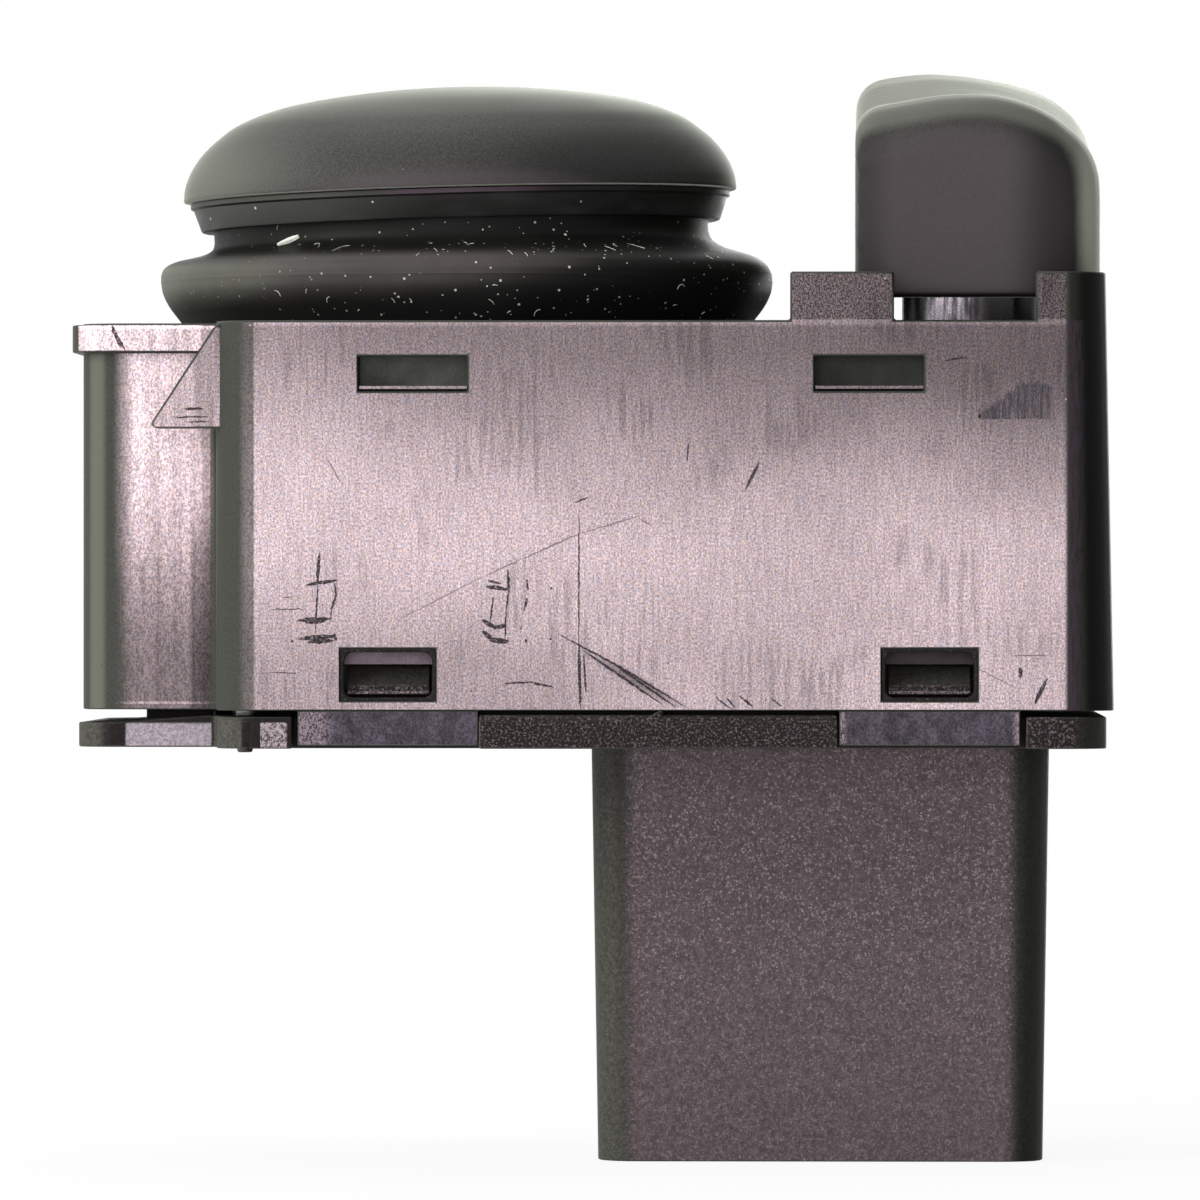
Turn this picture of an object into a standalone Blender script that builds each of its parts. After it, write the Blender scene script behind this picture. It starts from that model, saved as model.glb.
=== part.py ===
"""Door mirror switch: a tilting adjuster under a rubber boot and a see-saw selector, in one deep case.

The origin lies on the adjuster's axis, in the plane of the deck. X runs along the case towards the
selector, Y runs from the front wall to the back wall and Z points up. All sizes are in metres.
"""

import math

import bmesh
import bpy
from mathutils import Matrix, Vector

# Fits shared by all pieces
GAP = 0.0003
FLUSH_STEP = 0.00005

# Case
BLOCK_LEFT = -0.01165
BLOCK_LENGTH = 0.04345
BLOCK_DEPTH = 0.0340
CASE_HEIGHT = 0.0190
BAY_REACH = 0.0068
BAY_DEPTH = 0.0220
WALL = 0.0015
DECK = 0.0015
CORNER_RADIUS = 0.0021
INNER_RADIUS = 0.0006
SIDE_DRAFT = 0.00036
LIP_REACH = 0.0005
LIP_HEIGHT = 0.0014

# Openings and catches in the case's front and back walls
CLIP_LEFT_INSET = 0.0097
CLIP_RIGHT_INSET = 0.01155
CLIP_WINDOW_LENGTH = 0.0053
CLIP_WINDOW_HEIGHT = 0.0017
CLIP_WINDOW_DROP = 0.00175
LATCH_LEFT_INSET = 0.00848
LATCH_RIGHT_INSET = 0.00862
LATCH_WINDOW_LENGTH = 0.0046
LATCH_WINDOW_HEIGHT = 0.0025
LATCH_WINDOW_RISE = 0.0005
LATCH_TAB_LENGTH = 0.0088
LATCH_TAB_DROP = 0.0017

# Wedges that hold the switch in its panel, on the block's left side
WEDGE_REACH = 0.0031
WEDGE_TOP = 0.00025
WEDGE_DROP = 0.0052
WEDGE_LAND = 0.0003
WEDGE_WIDTH = 0.0034
WEDGE_SETBACK = 0.0011

# Collar posts round the selector
COLLAR_HEIGHT = 0.00236
COLLAR_WALL = 0.0015
COLLAR_POST_LENGTH = 0.00505
COLLAR_RETURN = 0.0024
COLLAR_RETURN_WALL = 0.0009
COLLAR_NOTCH_LEFT = 0.0036
COLLAR_NOTCH_RIGHT = 0.0033

# Adjuster: a dome on a stem, hung in a gimbal below the deck
KNOB_LEAN = math.radians(1.5)
PIVOT_DEPTH = 0.0060
CAP_RADIUS = 0.0139
CAP_TOP = 0.01214
CAP_WIDEST = 0.0070
CAP_BOTTOM = 0.00666
CAP_WALL = 0.0013
CAP_ROUNDNESS = 2.2
CAP_CROWN = 2.4
CAP_HEM = 0.0003
RING_RADIUS = 0.0134
RING_TAPER = 0.0004
RING_HEIGHT = 0.0012
RING_SPIGOT_HEIGHT = 0.0010
HUB_RADIUS = 0.0052
HUB_DEPTH = 0.0026
STEM_RADIUS = 0.0032
STEM_SOCKET_DEPTH = 0.0030
SWASH_RADIUS = 0.0082
SWASH_THICKNESS = 0.0016
SWASH_DROP = 0.0028
SWASH_SOCKET_DEPTH = 0.0010
ADJUSTER_HOLE_RADIUS = 0.0088
GIMBAL_INNER_RADIUS = 0.0044
GIMBAL_WALL = 0.0022
GIMBAL_HEIGHT = 0.0028
GIMBAL_PIN_RADIUS = 0.0008
GIMBAL_PIN_SEAT = 0.0014
BOSS_LENGTH = 0.0019
BOSS_WIDTH = 0.0040
BOSS_FOOT = 0.0020

# Rubber boot
BOOT_RADIUS = 0.0154
BOOT_NECK_RADIUS = 0.01245
BOOT_SHOULDER_HEIGHT = 0.0033
BOOT_NECK_HEIGHT = 0.0041
BOOT_BELLY_HEIGHT = 0.0019
BOOT_FOOT_RADIUS = 0.01435
BOOT_WALL = 0.0009

# Plungers, their guide and the contact mat
PLUNGER_CIRCLE = 0.0066
PLUNGER_RADIUS = 0.0012
PLUNGER_TRAVEL = 0.00095
GUIDE_LENGTH = 0.0196
GUIDE_THICKNESS = 0.0016
GUIDE_CLEARANCE = 0.0004
GUIDE_LEG = 0.0020
MAT_SIDE = 0.0190
MAT_THICKNESS = 0.00035
DOME_RADIUS = 0.0022
DOME_HEIGHT = 0.0004
BOARD_THICKNESS = 0.0012
BOARD_MARGIN = 0.0004
LAMP_SIZE = (0.0028, 0.0020, 0.0011)
LAMP_X = 0.0135

# Base plate with its snap arms
BASE_THICKNESS = 0.00155
BOARD_POST_HEIGHT = 0.0003
BOARD_POST_SIDE = 0.0020
ARM_THICKNESS = 0.0010
ARM_LENGTH = 0.0040
BARB_REACH = 0.0013
BARB_HEIGHT = 0.0014
BARB_LAND = 0.0004

# Connector
SHROUD_CENTRE_INSET = 0.0140
SHROUD_LENGTH = 0.02272
SHROUD_DEPTH = 0.0160
SHROUD_DROP = 0.0414
SHROUD_TAPER = 0.00033
SHROUD_RADIUS = 0.0020
SHROUD_WALL = 0.0014
CARRIER_THICKNESS = 0.0032
TERMINAL_COLUMNS = 5
TERMINAL_ROWS = 2
TERMINAL_PITCH = 0.0036
TERMINAL_ROW_PITCH = 0.0052
TERMINAL_WIDTH = 0.0015
TERMINAL_THICKNESS = 0.0008
TERMINAL_TIP_DEPTH = 0.0070
TERMINAL_TIP_TAPER = 0.0012

# Selector: a see-saw knob on a drum that rocks on a pin
SELECTOR_INSET = 0.00625
SELECTOR_SWING = math.radians(5.4)
SELECTOR_PIVOT_DEPTH = 0.0035
SELECTOR_LENGTH = 0.0280
SELECTOR_WIDTH = 0.0120
SELECTOR_BOTTOM = 0.00245
SELECTOR_TOP = 0.01250
SELECTOR_SLOPE = 0.0019
SELECTOR_INNER_RADIUS = 0.0017
SELECTOR_OUTER_RADIUS = 0.0036
SELECTOR_CREST_RADIUS = 0.0080
SELECTOR_DISH = 0.0010
SELECTOR_END_DROP = 0.0013
SELECTOR_END_ROUND = 0.0024
SELECTOR_CHEEK = 0.0019
SELECTOR_WALL = 0.0016
SELECTOR_CEILING = 0.0090
SELECTOR_SIDE_OFFSET = 0.0005
DRUM_WIDTH = 0.0063
DRUM_DEPTH = 0.0120
DRUM_CORNER = 0.0009
DRUM_BAR_BOTTOM = 0.0042
DRUM_SKIRT = 0.0020
DECK_SLOT_MARGIN = 0.0016
SELECTOR_PIN_RADIUS = 0.0010
EAR_THICKNESS = 0.0016
EAR_WIDTH = 0.0050
EAR_FOOT = 0.0021
EAR_SIDE_GAP = 0.0004
PIN_END_SEAT = 0.0003
DETENT_TUBE_WIDTH = 0.0032
DETENT_TUBE_DEPTH = 0.0052
DETENT_TUBE_BOTTOM = 0.0060
DETENT_BORE_TOP = 0.0019
DETENT_RADIUS = 0.0010
DETENT_LENGTH = 0.0030
DETENT_PROUD = 0.0011
DETENT_NOTCH_RADIUS = 0.0008
SPRING_WIRE = 0.00012
SPRING_TURNS = 3
TRACK_WIDTH = 0.0032
TRACK_DEPTH = 0.0064
TRACK_TOP = 0.0064
ARM_WIDTH = 0.0016
ARM_DEPTH = 0.0018
SLIDER_DEPTH = 0.0080
SLIDER_WIDTH = 0.0036
SLIDER_HEIGHT = 0.0034
SLIDER_GRIP = 0.0008
SLIDER_SLOT_FLOOR = 0.0006
BRIDGE_THICKNESS = 0.0003
BRIDGE_MARGIN = 0.0004

# Places that follow from the sizes above
BLOCK_RIGHT = BLOCK_LEFT + BLOCK_LENGTH
HALF_DEPTH = BLOCK_DEPTH / 2
BAY_LEFT = BLOCK_LEFT - BAY_REACH
HALF_BAY = BAY_DEPTH / 2
CLIP_WINDOW_CENTRES = (BLOCK_LEFT + CLIP_LEFT_INSET, BLOCK_RIGHT - CLIP_RIGHT_INSET)
LATCH_CENTRES = (BLOCK_LEFT + LATCH_LEFT_INSET, BLOCK_RIGHT - LATCH_RIGHT_INSET)
CASE_BOTTOM = -CASE_HEIGHT
PIVOT = Vector((0, 0, -PIVOT_DEPTH))
RING_TOP = CAP_BOTTOM - GAP
RING_BOTTOM = RING_TOP - RING_HEIGHT
BOOT_TOP = RING_BOTTOM - GAP - RING_RADIUS * math.sin(KNOB_LEAN)
HUB_BOTTOM = RING_BOTTOM - HUB_DEPTH
SWASH_TOP = -PIVOT_DEPTH - SWASH_DROP
SWASH_BOTTOM = SWASH_TOP - SWASH_THICKNESS
GIMBAL_RADIUS = GIMBAL_INNER_RADIUS + GIMBAL_WALL
BOSS_INNER = ADJUSTER_HOLE_RADIUS + GAP
BASE_TOP = CASE_BOTTOM - GAP
BASE_BOTTOM = BASE_TOP - BASE_THICKNESS
BOARD_BOTTOM = BASE_TOP + BOARD_POST_HEIGHT + GAP
BOARD_TOP = BOARD_BOTTOM + BOARD_THICKNESS
MAT_TOP = BOARD_TOP + GAP + MAT_THICKNESS
DOME_TOP = MAT_TOP + DOME_HEIGHT
PLUNGER_LENGTH = SWASH_BOTTOM - GAP - DOME_TOP - PLUNGER_TRAVEL
GUIDE_BOTTOM = DOME_TOP + GUIDE_CLEARANCE
GUIDE_TOP = GUIDE_BOTTOM + GUIDE_THICKNESS
ARM_OUTER = HALF_DEPTH - WALL - GAP - FLUSH_STEP
BOARD_HALF_DEPTH = ARM_OUTER - ARM_THICKNESS - BOARD_MARGIN
BOARD_LEFT = BLOCK_LEFT + WALL + BOARD_MARGIN
BOARD_RIGHT = BLOCK_RIGHT - WALL - BOARD_MARGIN
SHROUD_CENTRE = BLOCK_RIGHT - SHROUD_CENTRE_INSET
SHROUD_BOTTOM = -SHROUD_DROP
SOCKET_TOP = BASE_BOTTOM - FLUSH_STEP
SELECTOR_X = BLOCK_RIGHT - SELECTOR_INSET
DRUM_X = SELECTOR_X - SELECTOR_SIDE_OFFSET
SELECTOR_PIVOT = Vector((DRUM_X, 0, -SELECTOR_PIVOT_DEPTH))
DRUM_TOP = SELECTOR_CEILING - GAP
DETENT_X = DRUM_X - DRUM_WIDTH / 2 + DETENT_TUBE_WIDTH / 2 + GAP
TUBE_BOTTOM = SELECTOR_PIVOT.z - DETENT_TUBE_BOTTOM
DETENT_TIP = DETENT_TUBE_BOTTOM + DETENT_PROUD
TRACK_RADIUS = DETENT_TIP + GAP
ARM_X = DRUM_X + DRUM_WIDTH / 2 - GAP - ARM_WIDTH / 2
SLIDER_BOTTOM = BOARD_TOP + 2 * GAP + BRIDGE_THICKNESS
SLIDER_TOP = SLIDER_BOTTOM + SLIDER_HEIGHT
ARM_REACH = SELECTOR_PIVOT.z - SLIDER_TOP + SLIDER_GRIP
SLIDER_LEVER = ARM_REACH - SLIDER_GRIP / 2
SLIDER_SHIFT = SLIDER_LEVER * math.sin(SELECTOR_SWING)
SLIDER_LEFT = DETENT_X + TRACK_WIDTH / 2 + GAP


# Scene and helpers

def clear_scene():
    """Remove what the opened file holds, so that only the switch is left."""
    for old in list(bpy.data.objects):
        bpy.data.objects.remove(old, do_unlink=True)


def collection(name):
    """A new collection in the scene."""
    group = bpy.data.collections.new(name)
    bpy.context.scene.collection.children.link(group)
    return group


clear_scene()
PARTS = collection("door_mirror_switch")
CUTTERS = collection("cutters")


def material(name, colour, roughness, metallic=0.0):
    """A plain Principled material."""
    made = bpy.data.materials.new(name)
    made.use_nodes = True
    shader = made.node_tree.nodes["Principled BSDF"]
    shader.inputs["Base Color"].default_value = (*colour, 1.0)
    shader.inputs["Roughness"].default_value = roughness
    shader.inputs["Metallic"].default_value = metallic
    return made


def part(name, mesh, colour, roughness=0.5, metallic=0.0):
    """Put a mesh in the model as a sub-part with a material of its own."""
    piece = bpy.data.objects.new(name, mesh)
    mesh.materials.append(material(name, colour, roughness, metallic))
    PARTS.objects.link(piece)
    return piece


def cutter(name, mesh):
    """Put a mesh among the hidden tools that cut or join the sub-parts."""
    tool = bpy.data.objects.new(name, mesh)
    tool.hide_render = True
    tool.display_type = "WIRE"
    CUTTERS.objects.link(tool)
    return tool


def combine(piece, operation, name, mesh):
    """Cut a tool from a piece, or join the tool to it."""
    change = piece.modifiers.new(name, "BOOLEAN")
    change.operation = operation
    change.solver = "EXACT"
    change.object = cutter(f"{piece.name}_{name}", mesh)


def cut(piece, name, mesh):
    combine(piece, "DIFFERENCE", name, mesh)


def join(piece, name, mesh):
    combine(piece, "UNION", name, mesh)


def round_off(mesh, angle=math.radians(35)):
    """Shade a mesh smooth, with its sharp edges kept."""
    mesh.shade_smooth()
    mesh.set_sharp_from_angle(angle=angle)
    return mesh


def finished(shape, name):
    """Turn a bmesh into a mesh."""
    mesh = bpy.data.meshes.new(name)
    shape.to_mesh(mesh)
    shape.free()
    return mesh


def blocks(*ranges):
    """One mesh of boxes, each given as its (low, high) in X, Y and Z."""
    shape = bmesh.new()
    for spans in ranges:
        centre = [(low + high) / 2 for low, high in spans]
        sides = [high - low for low, high in spans]
        place = Matrix.Translation(centre) @ Matrix.Diagonal((*sides, 1.0))
        bmesh.ops.create_cube(shape, size=1.0, matrix=place)
    return finished(shape, "blocks")


def along(axis, middle):
    """The placement that turns a shape's own Z to a world axis and moves it along that axis."""
    turns = {
        "X": Matrix(((0, 0, 1), (1, 0, 0), (0, 1, 0))),
        "Y": Matrix(((1, 0, 0), (0, 0, -1), (0, 1, 0))),
        "Z": Matrix.Identity(3),
    }
    shift = {"X": (middle, 0, 0), "Y": (0, middle, 0), "Z": (0, 0, middle)}[axis]
    return Matrix.Translation(shift) @ turns[axis].to_4x4()


def rods(*spans, radius, axis="Z", segments=20):
    """One mesh of round bars; each span is (centre, low, high), the centre in the other two axes."""
    shape = bmesh.new()
    for (first, second), low, high in spans:
        offset = {"X": (0, first, second), "Y": (first, 0, second), "Z": (first, second, 0)}[axis]
        place = Matrix.Translation(offset) @ along(axis, (low + high) / 2)
        bmesh.ops.create_cone(shape, cap_ends=True, segments=segments, radius1=radius,
                              radius2=radius, depth=high - low, matrix=place)
    return round_off(finished(shape, "rods"))


def rounded(corners, steps=5):
    """The points of a polygon whose corners, given as (u, v, radius), are rounded off."""
    points = []
    for index, (u, v, radius) in enumerate(corners):
        corner = Vector((u, v))
        if radius == 0:
            points.append(corner)
            continue
        back = (Vector(corners[index - 1][:2]) - corner).normalized()
        ahead = (Vector(corners[(index + 1) % len(corners)][:2]) - corner).normalized()
        half = math.acos(max(-1.0, min(1.0, back.dot(ahead)))) / 2
        centre = corner + (back + ahead).normalized() * radius / math.sin(half)
        start = corner + back * radius / math.tan(half) - centre
        turn = math.pi - 2 * half
        if back.x * ahead.y - back.y * ahead.x > 0:
            turn = -turn
        for step in range(steps + 1):
            points.append(centre + Matrix.Rotation(turn * step / steps, 2) @ start)
    return points


def prism(points, low, high, axis="Z"):
    """A flat outline, filled and given a thickness between low and high along an axis."""
    curve = bpy.data.curves.new("outline", "CURVE")
    curve.dimensions = "2D"
    curve.fill_mode = "BOTH"
    curve.extrude = (high - low) / 2
    spline = curve.splines.new("POLY")
    spline.points.add(len(points) - 1)
    for target, point in zip(spline.points, points):
        target.co = (*point[:2], 0, 1)
    spline.use_cyclic_u = True
    holder = bpy.data.objects.new("outline", curve)
    bpy.context.scene.collection.objects.link(holder)
    depsgraph = bpy.context.evaluated_depsgraph_get()
    mesh = bpy.data.meshes.new_from_object(holder.evaluated_get(depsgraph))
    bpy.data.objects.remove(holder)
    shape = bmesh.new()
    shape.from_mesh(mesh)
    bmesh.ops.remove_doubles(shape, verts=shape.verts, dist=1e-7)
    bmesh.ops.recalc_face_normals(shape, faces=shape.faces)
    shape.transform(along(axis, (low + high) / 2))
    shape.to_mesh(mesh)
    shape.free()
    mesh.materials.clear()
    return round_off(mesh)


def turned(piece_name, profile, colour, roughness, steps=32, closed=False, metallic=0.0):
    """A piece turned round Z from a profile of (radius, height) that runs down its outer side."""
    shape = bmesh.new()
    verts = [shape.verts.new((radius, 0, height)) for radius, height in profile]
    for first, second in zip(verts, verts[1:]):
        shape.edges.new((first, second))
    if closed:
        shape.edges.new((verts[-1], verts[0]))
    piece = part(piece_name, finished(shape, piece_name), colour, roughness, metallic)
    screw = piece.modifiers.new("turn", "SCREW")
    screw.steps = steps
    screw.render_steps = steps
    screw.use_merge_vertices = True
    screw.merge_threshold = 1e-6
    screw.use_smooth_shade = True
    return piece


def move_points(mesh, rule):
    """Move each point of a mesh to where the rule puts it."""
    for vertex in mesh.vertices:
        vertex.co = rule(vertex.co)
    mesh.update()
    return mesh


def pivot(name, place, turn):
    """An empty on a joint's axis; what hangs on it is turned about that axis."""
    empty = bpy.data.objects.new(name, None)
    empty.location = place
    empty.rotation_euler = turn
    PARTS.objects.link(empty)
    return empty


def hang(piece, empty):
    """Hang a piece, and the tools that shape it, on a pivot."""
    tools = [change.object for change in piece.modifiers if change.type == "BOOLEAN"]
    for item in [piece, *tools]:
        item.parent = empty
        item.location -= empty.location


# Colours of the mouldings, before any finish
SLATE = (0.20, 0.18, 0.19)
CHARCOAL = (0.09, 0.09, 0.09)
RUBBER = (0.02, 0.02, 0.02)
GLOSS_BLACK = (0.03, 0.03, 0.035)
NATURAL = (0.55, 0.53, 0.48)
BRASS = (0.70, 0.55, 0.30)
STEEL = (0.55, 0.55, 0.57)


# Case

def plan_corners(inset=0.0):
    """The case's plan: the block with its set-back bay on the left."""
    left, right = BLOCK_LEFT + inset, BLOCK_RIGHT - inset
    deep, bay, outer = HALF_DEPTH - inset, HALF_BAY - inset, BAY_LEFT + inset
    radius = CORNER_RADIUS - inset
    return [(left, -deep, radius), (right, -deep, radius), (right, deep, radius),
            (left, deep, radius), (left, bay, INNER_RADIUS), (outer, bay, radius),
            (outer, -bay, radius), (left, -bay, INNER_RADIUS)]


def drafted(point):
    """The right side leans outwards on its way down, as the mould leaves it."""
    share = (point.x - BLOCK_LEFT) / BLOCK_LENGTH
    lean = SIDE_DRAFT * max(share, 0.0) * -point.z / CASE_HEIGHT
    return Vector((point.x + lean, point.y, point.z))


def wall_windows(centres, length, top, height):
    """Boxes through the front and the back wall."""
    found = []
    for centre in centres:
        for side in (-1, 1):
            outer, inner = side * (HALF_DEPTH + WALL), side * (HALF_DEPTH - 2 * WALL)
            found.append(((centre - length / 2, centre + length / 2),
                          (min(outer, inner), max(outer, inner)), (top - height, top)))
    return blocks(*found)


def clear_deck(piece):
    """Cut away what lies above the deck, all but the four collar posts."""
    start, end = BAY_LEFT - WALL, BLOCK_RIGHT + WALL
    left, right = DRUM_X - COLLAR_NOTCH_LEFT, DRUM_X + COLLAR_NOTCH_RIGHT
    beyond, inner = HALF_DEPTH + WALL, HALF_DEPTH - COLLAR_WALL
    for name, span, half in (("over_deck", (start, end), HALF_DEPTH - COLLAR_RETURN),
                             ("inside_posts", (start, BLOCK_RIGHT - COLLAR_RETURN_WALL), inner),
                             ("beside_posts", (start, left - COLLAR_POST_LENGTH), beyond),
                             ("between_posts", (left, right), beyond)):
        cut(piece, name, blocks((span, (-half, half), (0, COLLAR_HEIGHT + WALL))))


def wedge(side):
    """A snap wedge in front of, or behind, the bay."""
    start = HALF_DEPTH - WEDGE_SETBACK
    left, inside = BLOCK_LEFT - WEDGE_REACH, BLOCK_LEFT + WALL / 2
    outline = [(inside, -WEDGE_TOP), (BLOCK_LEFT - FLUSH_STEP, -WEDGE_TOP),
               (left, -WEDGE_DROP + WEDGE_LAND), (left, -WEDGE_DROP), (inside, -WEDGE_DROP)]
    edges = sorted((side * start, side * (start - WEDGE_WIDTH)))
    return prism(outline, *edges, axis="Y")


def case():
    """The deep moulded case, open below."""
    outer = move_points(prism(rounded(plan_corners()), CASE_BOTTOM, COLLAR_HEIGHT), drafted)
    piece = part("housing", outer, SLATE, 0.35)
    join(piece, "wedge_front", wedge(-1))
    join(piece, "wedge_back", wedge(1))
    clear_deck(piece)
    hollow = prism(rounded(plan_corners(WALL)), CASE_BOTTOM - WALL, -DECK)
    cut(piece, "hollow", move_points(hollow, drafted))
    lip = [(BLOCK_LEFT + WALL, -HALF_BAY - LIP_REACH, 0), (BLOCK_LEFT + WALL, HALF_BAY + LIP_REACH, 0),
           (BAY_LEFT - LIP_REACH, HALF_BAY + LIP_REACH, CORNER_RADIUS),
           (BAY_LEFT - LIP_REACH, -HALF_BAY - LIP_REACH, CORNER_RADIUS)]
    join(piece, "lip", prism(rounded(lip), -LIP_HEIGHT, -FLUSH_STEP))
    join(piece, "added_walls", blocks(*latch_tabs(), *gimbal_bosses(), *pin_ears()))
    clip_top = -CLIP_WINDOW_DROP
    cut(piece, "clip_windows",
        wall_windows(CLIP_WINDOW_CENTRES, CLIP_WINDOW_LENGTH, clip_top, CLIP_WINDOW_HEIGHT))
    latch_top = CASE_BOTTOM + LATCH_WINDOW_RISE + LATCH_WINDOW_HEIGHT
    cut(piece, "latch_windows",
        wall_windows(LATCH_CENTRES, LATCH_WINDOW_LENGTH, latch_top, LATCH_WINDOW_HEIGHT))
    cut(piece, "adjuster_hole",
        rods(((0, 0), -2 * DECK, DECK), radius=ADJUSTER_HOLE_RADIUS, segments=48))
    half_slot = DRUM_WIDTH / 2 + GAP
    half_run = DRUM_DEPTH / 2 + DECK_SLOT_MARGIN
    cut(piece, "selector_slot", blocks(((DRUM_X - half_slot, DRUM_X + half_slot),
                                        (-half_run, half_run), (-DECK - GAP, DECK))))
    cut(piece, "gimbal_pin_holes", rods(
        ((0, PIVOT.z), -BOSS_INNER - 2 * BOSS_LENGTH, BOSS_INNER + 2 * BOSS_LENGTH),
        radius=GIMBAL_PIN_RADIUS + GAP, axis="X"))
    low, high = selector_pin_span()
    cut(piece, "selector_pin_holes", rods(
        ((0, SELECTOR_PIVOT.z), low - EAR_THICKNESS, high + GAP),
        radius=SELECTOR_PIN_RADIUS + GAP, axis="X"))
    return piece


def latch_tabs():
    """The tongues of the front and back walls that reach down over the base."""
    low, high = HALF_DEPTH - WALL + FLUSH_STEP, HALF_DEPTH - FLUSH_STEP
    return [((centre - LATCH_TAB_LENGTH / 2, centre + LATCH_TAB_LENGTH / 2),
             tuple(sorted((side * low, side * high))),
             (CASE_BOTTOM - LATCH_TAB_DROP, CASE_BOTTOM + LATCH_WINDOW_RISE / 2))
            for centre in LATCH_CENTRES for side in (-1, 1)]


def gimbal_bosses():
    """Two bosses below the deck that hold the gimbal's outer pins."""
    return [(tuple(sorted((side * BOSS_INNER, side * (BOSS_INNER + BOSS_LENGTH)))),
             (-BOSS_WIDTH / 2, BOSS_WIDTH / 2), (PIVOT.z - BOSS_FOOT, -DECK / 2)) for side in (-1, 1)]


def pin_ears():
    """Two ears below the deck that hold the selector's pin; the right one runs into the wall."""
    reach = DRUM_WIDTH / 2 + EAR_SIDE_GAP
    left = (DRUM_X - reach - EAR_THICKNESS, DRUM_X - reach)
    right = (DRUM_X + reach, BLOCK_RIGHT - WALL / 2)
    sides = (-EAR_WIDTH / 2, EAR_WIDTH / 2)
    return [(span, sides, (SELECTOR_PIVOT.z - EAR_FOOT, -DECK / 2)) for span in (left, right)]


def selector_pin_span():
    """Where the selector's pin starts and ends."""
    left = DRUM_X - DRUM_WIDTH / 2 - EAR_SIDE_GAP - EAR_THICKNESS
    return left + PIN_END_SEAT, BLOCK_RIGHT - WALL - GAP


# Base

def base():
    """The bottom cover: plate, snap arms and connector shroud in one moulding."""
    piece = part("base", prism(rounded(plan_corners()), BASE_BOTTOM, BASE_TOP), CHARCOAL, 0.6)
    half = LATCH_TAB_LENGTH / 2 + GAP
    low, high = HALF_DEPTH - WALL - GAP, HALF_DEPTH + WALL
    cut(piece, "tab_notches", blocks(*[
        ((centre - half, centre + half), tuple(sorted((side * low, side * high))),
         (BASE_BOTTOM - WALL, BASE_TOP + WALL)) for centre in LATCH_CENTRES for side in (-1, 1)]))
    join(piece, "shroud", shroud_body(0, SHROUD_BOTTOM, BASE_BOTTOM + BASE_THICKNESS / 2))
    cut(piece, "socket", shroud_body(SHROUD_WALL, SHROUD_BOTTOM - WALL, SOCKET_TOP))
    join(piece, "board_posts", blocks(*board_posts()))
    for index, centre in enumerate(LATCH_CENTRES, 1):
        for side, word in ((-1, "front"), (1, "back")):
            join(piece, f"snap_arm_{word}_{index}", snap_arm(centre, side))
    cut(piece, "terminal_holes", blocks(*terminal_slots(BASE_BOTTOM - WALL, BASE_TOP + WALL)))
    return piece


def shroud_body(inset, low, high):
    """The shroud's outside, or its socket when inset by the wall; it narrows on its way down."""
    half_x, half_y = SHROUD_LENGTH / 2 - inset, SHROUD_DEPTH / 2 - inset
    radius = max(SHROUD_RADIUS - inset, INNER_RADIUS)
    corners = [(-half_x, -half_y, radius), (half_x, -half_y, radius), (half_x, half_y, radius),
               (-half_x, half_y, radius)]

    def narrowed(point):
        share = (BASE_BOTTOM - point.z) / (BASE_BOTTOM - SHROUD_BOTTOM)
        x = point.x - math.copysign(SHROUD_TAPER, point.x) * share
        return Vector((SHROUD_CENTRE + x, point.y, point.z))

    return move_points(prism(rounded(corners), low, high), narrowed)


def board_posts():
    """Four low posts that carry the circuit board."""
    half = BOARD_POST_SIDE / 2
    spots = [(x, y) for x in (BOARD_LEFT + BOARD_POST_SIDE, BOARD_RIGHT - BOARD_POST_SIDE)
             for y in (-BOARD_HALF_DEPTH + BOARD_POST_SIDE, BOARD_HALF_DEPTH - BOARD_POST_SIDE)]
    return [((x - half, x + half), (y - half, y + half),
             (BASE_TOP - BASE_THICKNESS / 2, BASE_TOP + BOARD_POST_HEIGHT)) for x, y in spots]


def snap_arm(centre, side):
    """An arm inside the wall whose barb stands in the latch window."""
    window_floor = CASE_BOTTOM + LATCH_WINDOW_RISE
    barb_bottom = window_floor + GAP
    barb_top = barb_bottom + BARB_HEIGHT
    inner = side * (ARM_OUTER - ARM_THICKNESS)
    face, tip = side * ARM_OUTER, side * (ARM_OUTER + BARB_REACH)
    outline = [(inner, BASE_TOP - BASE_THICKNESS / 2), (face, BASE_TOP - BASE_THICKNESS / 2),
               (face, barb_bottom), (tip, barb_bottom), (tip, barb_bottom + BARB_LAND),
               (face, barb_top), (inner, barb_top)]
    return prism(outline, centre - ARM_LENGTH / 2, centre + ARM_LENGTH / 2, axis="X")


def terminal_places():
    """The middle of each terminal, row by row."""
    for row in range(TERMINAL_ROWS):
        for column in range(TERMINAL_COLUMNS):
            yield (SHROUD_CENTRE + (column - (TERMINAL_COLUMNS - 1) / 2) * TERMINAL_PITCH,
                   (row - (TERMINAL_ROWS - 1) / 2) * TERMINAL_ROW_PITCH)


def terminal_slots(low, high):
    """The slots that the terminals pass through."""
    half_x, half_y = TERMINAL_WIDTH / 2 + GAP, TERMINAL_THICKNESS / 2 + GAP
    return [((x - half_x, x + half_x), (y - half_y, y + half_y), (low, high))
            for x, y in terminal_places()]


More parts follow.
